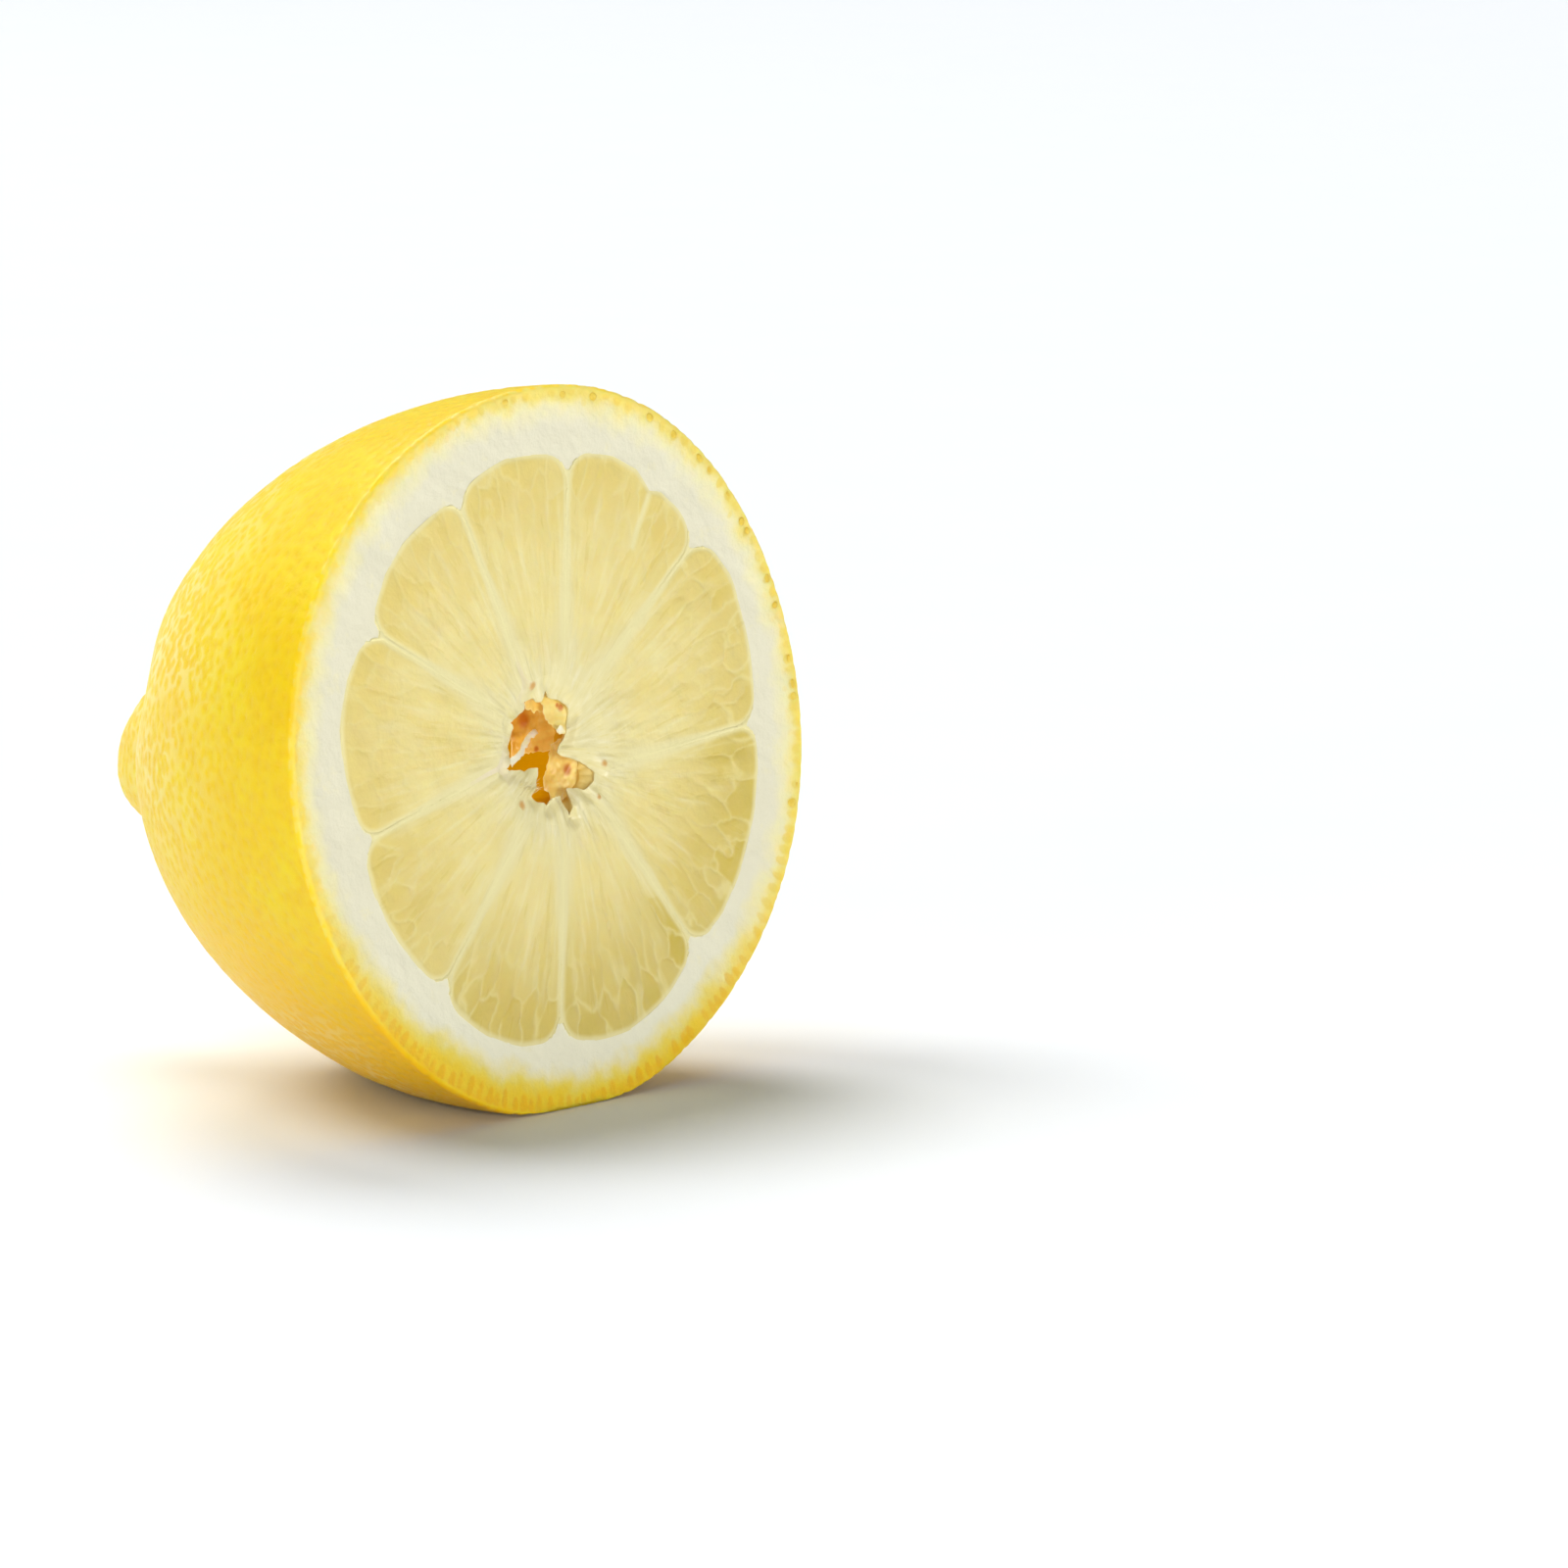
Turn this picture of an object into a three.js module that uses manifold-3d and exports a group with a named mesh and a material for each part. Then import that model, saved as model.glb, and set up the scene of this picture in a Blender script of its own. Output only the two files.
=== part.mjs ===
// Half a lemon, cut across its middle and lying on its side on a small flat spot.
//
// Millimetres, +Z up. The cut face looks towards -Y and leans back a little, the nipple points
// towards +Y, and the origin is on the resting surface, under the middle of the half.
//
// The skin is described from the middle of the cut face: "reach" is the distance to the skin in
// a direction, "off" is the angle between that direction and the fruit's axis (0 at the nipple,
// 90 degrees at the cut), and "around" is the angle round the axis (0 at +X, 90 degrees at the top).

import * as THREE from 'three';
import Module from 'manifold-3d';
import { mergeVertices } from 'three/addons/utils/BufferGeometryUtils.js';

// Outer shape.
const CUT_RADIUS = 30;
const BODY_LENGTH = 38.45;
const NIPPLE_LENGTH = 11;
const NIPPLE_SPREAD = 11;
const NIPPLE_POWER = 2.5;
const NIPPLE_DROP = 1.35;

// Shallow ribs that keep the cut from being a true circle: how many round the fruit,
// their height as a share of the radius, and where the first crest is, in degrees.
const RIBS = [
  { count: 2, height: 0.006, crest: -24 },
  { count: 3, height: 0.005, crest: 40 },
  { count: 4, height: 0.0065, crest: -22 },
  { count: 5, height: 0.003, crest: -15 },
];

// The fuller underside that the half rests on.
const BELLY_HEIGHT = 0.08;
const BELLY_OFF = 46;
const BELLY_LENGTH = 20;
const BELLY_WIDTH = 18;

// The torn hollow in the middle of the cut face.
const CORE_MOUTH_RADIUS = 4.8;
const CORE_END_RADIUS = 3.8;
const CORE_DEPTH = 13;
const CORE_CORNER = 2.5;

// How the half lies.
const FACE_LEAN = 4.3;
const FLAT_DEPTH = 1;

// Fineness of the faceted skin.
const STEPS_AROUND = 60;
const STEPS_TO_NIPPLE = 22;
const NIPPLE_CROWDING = 1.35;
const STEPS_OVER_CORNER = 4;

const RIND_COLOUR = 0xf5d93c;
const RIND_ROUGHNESS = 0.42;

const radians = THREE.MathUtils.degToRad;

/** Distance from the middle of the cut face to the smooth skin, at an angle off the axis. */
function smoothReach(off) {
  const along = Math.cos(off) / BODY_LENGTH;
  const across = Math.sin(off) / CUT_RADIUS;
  const nipple = NIPPLE_LENGTH * Math.exp(-((off / radians(NIPPLE_SPREAD)) ** NIPPLE_POWER));
  return 1 / Math.hypot(along, across) + nipple;
}

/** Share of the radius that the ribs and the belly add to the smooth skin in a direction. */
function fullness(off, around) {
  let ribs = 0;
  for (const { count, height, crest } of RIBS) {
    ribs += height * Math.cos(count * (around - radians(crest)));
  }
  const fromUnderside = Math.atan2(Math.cos(around), -Math.sin(around));
  const lengthwise = (off - radians(BELLY_OFF)) / radians(BELLY_LENGTH);
  const crosswise = fromUnderside / radians(BELLY_WIDTH);
  const belly = BELLY_HEIGHT * Math.exp(-(lengthwise ** 2) - crosswise ** 2);
  return ribs * Math.sin(off) ** 2 + belly;
}

/** Half outline, as (radius, depth behind the cut): the core's floor, its wall, the cut, the skin. */
function halfOutline() {
  const outline = [new THREE.Vector2(0, CORE_DEPTH)];
  const cornerRadius = CORE_END_RADIUS - CORE_CORNER;
  for (let step = 0; step <= STEPS_OVER_CORNER; step++) {
    const turn = (Math.PI / 2) * (step / STEPS_OVER_CORNER);
    const radius = cornerRadius + CORE_CORNER * Math.sin(turn);
    const depth = CORE_DEPTH - CORE_CORNER + CORE_CORNER * Math.cos(turn);
    outline.push(new THREE.Vector2(radius, depth));
  }
  outline.push(new THREE.Vector2(CORE_MOUTH_RADIUS, 0));
  for (let step = 0; step < STEPS_TO_NIPPLE; step++) {
    const off = (Math.PI / 2) * (1 - step / STEPS_TO_NIPPLE) ** NIPPLE_CROWDING;
    const reach = smoothReach(off);
    outline.push(new THREE.Vector2(reach * Math.sin(off), reach * Math.cos(off)));
  }
  outline.push(new THREE.Vector2(0, smoothReach(0)));
  return outline;
}

/** Gives the turned shape its ribs, its belly and the bend of its axis. */
function shapeFruit(geometry) {
  const point = new THREE.Vector3();
  const places = geometry.attributes.position;
  for (let index = 0; index < places.count; index++) {
    point.fromBufferAttribute(places, index);
    const distance = point.length();
    const off = Math.acos(THREE.MathUtils.clamp(point.y / distance, 0, 1));
    const around = Math.atan2(point.z, point.x);
    const closeness = (distance / smoothReach(off)) ** 3;
    point.multiplyScalar(1 + fullness(off, around) * closeness);
    point.z -= NIPPLE_DROP * (point.y / BODY_LENGTH) ** 3;
    places.setXYZ(index, point.x, point.y, point.z);
  }
}

/** A manifold-3d solid from a closed three.js geometry. */
function solidFrom(wasm, geometry) {
  const bare = geometry.clone();
  bare.deleteAttribute('normal');
  bare.deleteAttribute('uv');
  const welded = mergeVertices(bare, 1e-4);
  const mesh = new wasm.Mesh({
    numProp: 3,
    vertProperties: Float32Array.from(welded.attributes.position.array),
    triVerts: Uint32Array.from(welded.index.array),
  });
  return new wasm.Manifold(mesh);
}

/** A three.js geometry from a manifold-3d solid. */
function geometryFrom(solid) {
  const mesh = solid.getMesh();
  const geometry = new THREE.BufferGeometry();
  geometry.setAttribute('position', new THREE.BufferAttribute(mesh.vertProperties, 3));
  geometry.setIndex(new THREE.BufferAttribute(mesh.triVerts, 1));
  geometry.computeVertexNormals();
  return geometry;
}

/** The whole half, lying on its flat spot, with the origin under its middle. */
async function lemonHalf() {
  const fruit = new THREE.LatheGeometry(halfOutline(), STEPS_AROUND);
  shapeFruit(fruit);
  fruit.rotateX(-radians(FACE_LEAN));
  fruit.computeBoundingBox();
  const floor = fruit.boundingBox.min.z + FLAT_DEPTH;

  const side = 4 * BODY_LENGTH;
  const underFloor = new THREE.BoxGeometry(side, side, side);
  underFloor.translate(0, 0, floor - side / 2);

  const wasm = await Module();
  wasm.setup();
  const half = geometryFrom(solidFrom(wasm, fruit).subtract(solidFrom(wasm, underFloor)));
  half.computeBoundingBox();
  const middle = half.boundingBox.getCenter(new THREE.Vector3());
  half.translate(-middle.x, -middle.y, -half.boundingBox.min.z);
  return half;
}

const rind = new THREE.MeshStandardMaterial({
  color: RIND_COLOUR,
  roughness: RIND_ROUGHNESS,
  metalness: 0,
});

const half = new THREE.Mesh(await lemonHalf(), rind);
half.name = 'lemon_half';

const lemon = new THREE.Group();
lemon.add(half);

export default lemon;
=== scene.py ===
"""Half a lemon lying on its side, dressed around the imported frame.

The frame holds one plain solid, lemon_half. Every piece here stands for a tissue of that solid:
the rind with its pitted skin, the membranes with the torn core, nine pulp segments, the cut oil
glands, the torn flaps of the core and the dry scar on the nipple. Sizes are in millimetres and
are turned into metres when a mesh is made. A turned point is (across, depth behind the cut, up).
"""

import logging
import math
from collections.abc import Iterator
from dataclasses import dataclass, field
from enum import Enum

import bmesh
import bpy
import numpy as np
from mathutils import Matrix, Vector, kdtree
from mathutils.geometry import delaunay_2d_cdt


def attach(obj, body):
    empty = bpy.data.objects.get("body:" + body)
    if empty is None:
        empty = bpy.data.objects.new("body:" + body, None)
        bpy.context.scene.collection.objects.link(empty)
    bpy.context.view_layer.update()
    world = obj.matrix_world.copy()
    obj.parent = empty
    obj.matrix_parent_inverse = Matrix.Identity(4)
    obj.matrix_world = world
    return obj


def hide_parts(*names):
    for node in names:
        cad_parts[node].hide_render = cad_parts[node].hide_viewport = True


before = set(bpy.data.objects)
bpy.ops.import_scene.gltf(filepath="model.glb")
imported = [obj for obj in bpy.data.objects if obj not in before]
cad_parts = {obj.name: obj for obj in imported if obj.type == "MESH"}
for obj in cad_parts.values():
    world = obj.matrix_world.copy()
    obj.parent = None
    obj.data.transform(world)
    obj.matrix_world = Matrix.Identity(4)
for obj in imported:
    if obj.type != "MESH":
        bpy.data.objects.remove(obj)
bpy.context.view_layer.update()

MM = 0.001
NODE = "lemon_half"
BODY = "root"
SHARP_ANGLE = 58.0
TISSUE_SHARP_ANGLE = 32.0
TURN = 2 * math.pi
TINY = 1e-9

log = logging.getLogger("lemon")

Points = np.ndarray
Values = np.ndarray
Colour = tuple[float, float, float]
Piece = bpy.types.Object
Material = bpy.types.Material
Socket = bpy.types.NodeSocket
Draws = np.random.Generator
Pair = tuple[float, float]
Triple = tuple[float, float, float]
Pairs = tuple[Pair, ...]
Triples = tuple[Triple, ...]
Stops = tuple[tuple[float, str], ...]


class Tissue(Enum):
    """The tissues that a piece can stand for."""

    PEEL = "peel"
    PITH = "pith"
    PULP = "pulp"


def paint(code: str) -> Colour:
    """Turns a colour's six hexadecimal digits into the linear one that a shader wants."""
    shares = [int(code[start:start + 2], 16) / 255 for start in (0, 2, 4)]
    return tuple(s / 12.92 if s <= 0.04045 else ((s + 0.055) / 1.055) ** 2.4 for s in shares)


def smooth(low: float, high: float, value: Values) -> Values:
    """Rises smoothly from 0 at low to 1 at high; low may be the greater of the two."""
    share = np.clip((value - low) / (high - low), 0, 1)
    return share * share * (3 - 2 * share)


def bell(*offsets: Values) -> Values:
    """A smooth bump: 1 where every offset is 0, falling away on all sides."""
    return np.exp(-sum(offset ** 2 for offset in offsets))


def unit_ways(around: Values) -> Points:
    """Unit directions as (across, up), at angles round the fruit's axis."""
    return np.column_stack((np.cos(around), np.sin(around)))


def around_and_out(flat: Points) -> tuple[Values, Values]:
    """The angle round the axis and the distance from it, of (across, up) points."""
    return np.arctan2(flat[:, 1], flat[:, 0]), np.hypot(*flat.T)


def on_face(flat: Points, depth: Values | float) -> Points:
    """Turned points from (across, up) on the cut face and a depth behind it."""
    return np.column_stack((flat[:, 0], np.broadcast_to(depth, len(flat)), flat[:, 1]))


def search_tree(places: Points) -> kdtree.KDTree:
    """Sorts places so that near ones are found quickly."""
    tree = kdtree.KDTree(len(places))
    for index, point in enumerate(places.tolist()):
        tree.insert(point, index)
    tree.balance()
    return tree


def gap_to(places: Points, others: Points) -> Values:
    """Distance from each place to the nearest of some others."""
    tree = search_tree(others)
    return np.array([tree.find(point)[2] for point in places.tolist()])


def thin_out(places: Points, gaps: Values) -> Values:
    """Keeps places in their order, so that none is nearer to a kept one than its gap.

    Args:
        places: Points, three numbers each.
        gaps: The free distance round each place.

    Returns:
        Indices of the kept places.
    """
    tree = search_tree(places)
    gone = np.zeros(len(places), bool)
    kept = []
    for index, (point, gap) in enumerate(zip(places.tolist(), gaps.tolist())):
        if not gone[index]:
            kept.append(index)
            gone[[hit[1] for hit in tree.find_range(point, gap)]] = True
    return np.array(kept)


def weave(flat: Points, outer: Values, *holes: Values) -> Values:
    """Joins points on a plane into triangles, inside one ring and outside any others.

    Args:
        flat: Points on the plane, two numbers each, none of them outside the region.
        outer: Indices of the ring round everything, in order.
        holes: Rings whose insides stay open.

    Returns:
        Triangles as rows of three indices.
    """
    rings = (outer, *holes)
    sides = [(int(a), int(b)) for ring in rings for a, b in zip(ring, np.roll(ring, -1))]
    out = delaunay_2d_cdt([Vector(p) for p in flat.tolist()], sides, [], 0, 1e-7)
    if len(out[0]) > len(flat):
        log.warning("a ring crosses itself")
    first = np.array([origin[0] if origin else -1 for origin in out[3]])
    triangles = first[np.array([face for face in out[2] if len(face) == 3])]
    triangles = triangles[(triangles >= 0).all(axis=1)]
    ring_of, order = np.zeros(len(flat), int), np.zeros(len(flat), int)
    for number, ring in enumerate(rings, 1):
        x, z = flat[ring].T
        leftward = (x * np.roll(z, -1) - np.roll(x, -1) * z).sum() > 0
        ring_of[ring] = number
        order[ring] = np.arange(len(ring)) * (1 if leftward == (number == 1) else -1)
    a, b, c = order[triangles].T
    rising = ((a < b).astype(int) + (b < c) + (c < a)) == 2
    owners = ring_of[triangles]
    one_ring = (owners[:, 0] > 0) & (owners == owners[:, :1]).all(axis=1)
    return triangles[~one_ring | rising]


def within(flat: Points, outline: Points) -> Values:
    """Tells which points lie inside a closed outline.

    Args:
        flat: Points on the plane.
        outline: The outline's corners in order.

    Returns:
        True for each point inside.
    """
    inside = np.zeros(len(flat), bool)
    x, z = flat[:, 0], flat[:, 1]
    for (ax, az), (bx, bz) in zip(outline, np.roll(outline, -1, axis=0)):
        if az != bz:
            crosses = (az > z) != (bz > z)
            inside ^= crosses & (x < (bx - ax) * (z - az) / (bz - az) + ax)
    return inside


def gap_to_outline(flat: Points, outline: Points) -> Values:
    """Distance from points to a closed outline's sides.

    Args:
        flat: Points on the plane.
        outline: The outline's corners in order.

    Returns:
        The distances, never negative.
    """
    best = np.full(len(flat), np.inf)
    for start, end in zip(outline, np.roll(outline, -1, axis=0)):
        side = end - start
        along = np.clip((flat - start) @ side / max(side @ side, 1e-12), 0, 1)
        best = np.minimum(best, np.hypot(*(flat - start - along[:, None] * side).T))
    return best


def lattice(radius: float, step: float, rng: Draws) -> Points:
    """A triangular lattice over a disc, each point moved a little off its place.

    Args:
        radius: The disc's radius.
        step: Distance between neighbours.
        rng: Where the small moves come from.

    Returns:
        Points on the plane.
    """
    rows = int(radius / (step * 0.866)) + 1
    columns = int(radius / step) + 1
    row, column = np.meshgrid(np.arange(-rows, rows + 1), np.arange(-columns, columns + 1))
    flat = np.column_stack(((column + 0.5 * (row % 2)).ravel() * step, row.ravel() * step * 0.866))
    flat += rng.uniform(-0.22, 0.22, flat.shape) * step
    return flat[np.hypot(*flat.T) < radius]


@dataclass(frozen=True)
class Ripple:
    """A smooth random field: plane waves with seeded directions and phases.

    Its values are spread round 0 and seldom pass 1 either way.
    """

    size: float
    seed: int
    waves: int = 28

    def at(self, places: Points) -> Values:
        """The field at some places.

        Args:
            places: Points with two or three numbers each.

        Returns:
            One value a place.
        """
        rng = np.random.default_rng(self.seed)
        count = places.shape[1]
        ways = rng.normal(size=(self.waves, count))
        ways /= np.linalg.norm(ways, axis=1)[:, None]
        ways *= TURN / (self.size * rng.uniform(0.7, 1.5, self.waves))[:, None]
        phases = rng.uniform(0, TURN, self.waves)
        total = np.zeros(len(places))
        for way, phase in zip(ways, phases):
            total += np.sin(places @ way + phase)
        return total / math.sqrt(self.waves)


@dataclass(frozen=True)
class FruitForm:
    """The outer form, the same as the solid's. Angles are in degrees."""

    cut_radius: float = 30.0
    body_length: float = 38.45
    nipple_length: float = 11.0
    nipple_spread: float = 11.0
    nipple_power: float = 2.5
    nipple_drop: float = 1.35
    ribs: tuple[tuple[int, float, float], ...] = (
        (2, 0.006, -24), (3, 0.005, 40), (4, 0.0065, -22), (5, 0.003, -15))
    belly_height: float = 0.08
    belly_off: float = 46.0
    belly_length: float = 20.0
    belly_width: float = 18.0
    face_lean: float = 4.3
    face_middle: Triple = (0.0517, -23.4067, 29.271)
    floor_blend: float = 0.25

    def smooth_reach(self, off: Values) -> Values:
        """Distance from the middle of the cut to the plain skin, at an angle off the axis."""
        along = np.cos(off) / self.body_length
        across = np.sin(off) / self.cut_radius
        bump = np.exp(-(np.abs(off) / math.radians(self.nipple_spread)) ** self.nipple_power)
        return 1 / np.hypot(along, across) + self.nipple_length * bump

    def fullness(self, off: Values, around: Values) -> Values:
        """Share of the radius that the ribs and the belly add in a direction."""
        ribs = sum(height * np.cos(count * (around - math.radians(crest)))
                   for count, height, crest in self.ribs)
        from_underside = np.arctan2(np.cos(around), -np.sin(around))
        lengthwise = (off - math.radians(self.belly_off)) / math.radians(self.belly_length)
        crosswise = from_underside / math.radians(self.belly_width)
        belly = self.belly_height * np.exp(-lengthwise ** 2 - crosswise ** 2)
        return ribs * np.sin(off) ** 2 + belly

    def bend(self, turned: Points) -> Points:
        """Gives turned points the ribs, the belly and the bend of the axis.

        Args:
            turned: Points of a shape turned round the axis.

        Returns:
            The points in the fruit's own frame, the cut still upright.
        """
        distance = np.maximum(np.linalg.norm(turned, axis=1), TINY)
        off = np.arccos(np.clip(turned[:, 1] / distance, -1, 1))
        around = np.arctan2(turned[:, 2], turned[:, 0])
        closeness = (distance / self.smooth_reach(off)) ** 3
        bent = turned * (1 + self.fullness(off, around) * closeness)[:, None]
        bent[:, 2] -= self.nipple_drop * (bent[:, 1] / self.body_length) ** 3
        return bent

    def settle(self, bent: Points) -> Points:
        """Leans the fruit back, puts it in the frame's place and presses its underside flat.

        Args:
            bent: Points in the fruit's own frame.

        Returns:
            The points in the frame, still in millimetres.
        """
        lean = math.radians(self.face_lean)
        cos, sin = math.cos(lean), math.sin(lean)
        out = np.column_stack((
            bent[:, 0],
            bent[:, 1] * cos + bent[:, 2] * sin,
            bent[:, 2] * cos - bent[:, 1] * sin)) + np.array(self.face_middle)
        out[:, 2] = 0.5 * (out[:, 2] + np.hypot(out[:, 2], self.floor_blend))
        return out

    def place(self, turned: Points) -> Points:
        """Takes turned points all the way to the frame, in metres."""
        return self.settle(self.bend(turned)) * MM


class SkinMap:
    """Unrolls the turned skin onto a disc without squeezing any small shape on it.

    The nipple's tip is the middle of the disc and the rim of the cut is its edge, at radius 1.
    """

    def __init__(self, form: FruitForm, rim_off: float) -> None:
        """Measures the outline once.

        Args:
            form: The fruit's outer form.
            rim_off: Angle off the axis where the skin ends, in radians.
        """
        self.form = form
        self.rim_off = rim_off
        self.off = np.radians(np.concatenate(([0.01], np.linspace(0.05, 94, 5000))))
        reach = form.smooth_reach(self.off)
        self.radius = reach * np.sin(self.off)
        depth = reach * np.cos(self.off)
        step = np.hypot(np.diff(self.radius), np.diff(depth))
        middle = 0.5 * (self.radius[1:] + self.radius[:-1])
        self.spread = np.concatenate(([0], np.cumsum(step / middle)))
        self.spread -= np.interp(rim_off, self.off, self.spread)
        self.area = np.concatenate(([0], np.cumsum(TURN * middle * step)))

    def scatter(self, count: int, rng: Draws, last: float) -> Points:
        """Random places, equally thick all over the skin.

        Args:
            count: How many.
            rng: Where they come from.
            last: The greatest angle off the axis, in radians.

        Returns:
            Rows of (angle off the axis, angle around).
        """
        top = np.interp(last, self.off, self.area)
        off = np.interp(rng.uniform(0, top, count), self.area, self.off)
        return np.column_stack((off, rng.uniform(0, TURN, count)))

    def to_disc(self, polar: Points) -> Points:
        """Takes (off, around) rows to the disc."""
        radius = np.exp(np.interp(polar[:, 0], self.off, self.spread))
        return unit_ways(polar[:, 1]) * radius[:, None]

    def from_disc(self, flat: Points) -> Points:
        """Takes points on the disc to (off, around) rows."""
        around, radius = around_and_out(flat)
        off = np.interp(np.log(np.maximum(radius, TINY)), self.spread, self.off)
        return np.column_stack((off, around))

    def disc_scale(self, polar: Points) -> Values:
        """Disc units per millimetre of skin at (off, around) rows."""
        grown = np.exp(np.interp(polar[:, 0], self.off, self.spread))
        return grown / np.interp(polar[:, 0], self.off, self.radius)

    def turned(self, polar: Points) -> Points:
        """Takes (off, around) rows to turned points on the skin."""
        off, around = polar.T
        reach = self.form.smooth_reach(off)
        return on_face(unit_ways(around) * (reach * np.sin(off))[:, None], reach * np.cos(off))


class Shell:
    """Gathers the vertices, triangles and vertex values of one closed mesh."""

    def __init__(self) -> None:
        """Starts with nothing in it."""
        self.places: list[Points] = []
        self.notes: list[dict[str, Values]] = []
        self.triangles: list[Values] = []
        self.count = 0

    def add(self, places: Points, **notes: Values | float) -> Values:
        """Adds vertices.

        Args:
            places: Their points, three numbers each.
            notes: Values by name, one a vertex or one for all.

        Returns:
            The new vertices' indices.
        """
        indices = np.arange(self.count, self.count + len(places))
        self.places.append(places)
        self.notes.append({name: np.broadcast_to(np.asarray(value, float), len(places))
                           for name, value in notes.items()})
        self.count += len(places)
        return indices

    def face(self, triangles: Values) -> None:
        """Adds triangles, as rows of vertex indices."""
        self.triangles.append(triangles)

    def bridge(self, one: Values, other: Values) -> None:
        """Joins two closed rings of equally many vertices with a band of triangles."""
        after_one, after_other = np.roll(one, -1), np.roll(other, -1)
        self.face(np.column_stack((one, after_one, other)))
        self.face(np.column_stack((after_one, after_other, other)))

    def cap(self, ring: Values, tip: Values, **notes: float) -> None:
        """Closes a ring with a fan to one new vertex."""
        middle = self.add(np.array([tip]), **notes)
        self.face(np.column_stack((ring, np.roll(ring, -1), np.repeat(middle, len(ring)))))

    def at(self, indices: Values) -> Points:
        """The points of some vertices."""
        return np.concatenate(self.places)[indices]

    def all_notes(self) -> dict[str, Values]:
        """The values by name over all vertices, 0 where none was given."""
        names = sorted({name for notes in self.notes for name in notes})
        return {name: np.concatenate([notes.get(name, np.zeros(len(places)))
                                      for notes, places in zip(self.notes, self.places)])
                for name in names}

    def make(self, name: str, form: FruitForm, finish: Material | None = None,
             sharp: float = SHARP_ANGLE) -> Piece:
        """Makes a smooth-shaded object of everything gathered, all faces turned outwards.

        Args:
            name: The object's name.
            form: Takes the turned points to the frame.
            finish: The material, unless a tree sets it later.
            sharp: The angle over which an edge is shaded sharp, in degrees.

        Returns:
            The new object, at the origin.
        """
        mesh = bpy.data.meshes.new(name)
        places = form.place(np.concatenate(self.places))
        mesh.from_pydata(places.tolist(), [], np.concatenate(self.triangles).tolist())
        for key, values in self.all_notes().items():
            carry(mesh, key, values)
        loose = face_outwards(mesh)
        mesh.set_sharp_from_angle(angle=math.radians(sharp))
        mesh.validate()
        if finish:
            mesh.materials.append(finish)
        log.info("%s: %d triangles, %d open sides", name, len(mesh.polygons), loose)
        return stand(name, mesh)


def carry(mesh: bpy.types.Mesh, name: str, values: Values) -> None:
    """Gives each vertex of a mesh a number, or a vector, under a name."""
    kind, key = ("FLOAT", "value") if values.ndim == 1 else ("FLOAT_VECTOR", "vector")
    layer = mesh.attributes.new(name, kind, "POINT")
    layer.data.foreach_set(key, np.ascontiguousarray(values, np.float32).ravel())


def stand(name: str, data: bpy.types.ID) -> Piece:
    """Puts a new object in the scene."""
    thing = bpy.data.objects.new(name, data)
    bpy.context.scene.collection.objects.link(thing)
    return thing


def face_outwards(mesh: bpy.types.Mesh) -> int:
    """Turns all faces outwards and shades them smooth.

    Args:
        mesh: It changes in place.

    Returns:
        How many sides don't join exactly two faces.
    """
    work = bmesh.new()
    work.from_mesh(mesh)
    bmesh.ops.recalc_face_normals(work, faces=work.faces)
    loose = sum(len(edge.link_faces) != 2 for edge in work.edges)
    work.to_mesh(mesh)
    work.free()
    mesh.polygons.foreach_set("use_smooth", np.ones(len(mesh.polygons), bool))
    return loose


@dataclass(frozen=True)
class Septum:
    """The wall between two segments where the cut shows it, as (across, up) ends."""

    core_end: Pair
    rind_end: Pair
    thin: float = 0.14
    thick: float = 0.3

    def way(self) -> Points:
        """Unit direction from the core to the rind."""
        way = np.subtract(self.rind_end, self.core_end)
        return way / np.linalg.norm(way)

    def aside(self, flat: Points) -> Values:
        """Distance to the wall's middle line, positive on its anticlockwise side."""
        way = self.way()
        offset = flat - np.array(self.core_end)
        return way[0] * offset[:, 1] - way[1] * offset[:, 0]

    def half(self, flat: Points) -> Values:
        """Half the wall's thickness beside each point: it widens towards the core."""
        radius = np.hypot(*flat.T)
        return self.thin + (self.thick - self.thin) * smooth(15, 6, radius)


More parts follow.
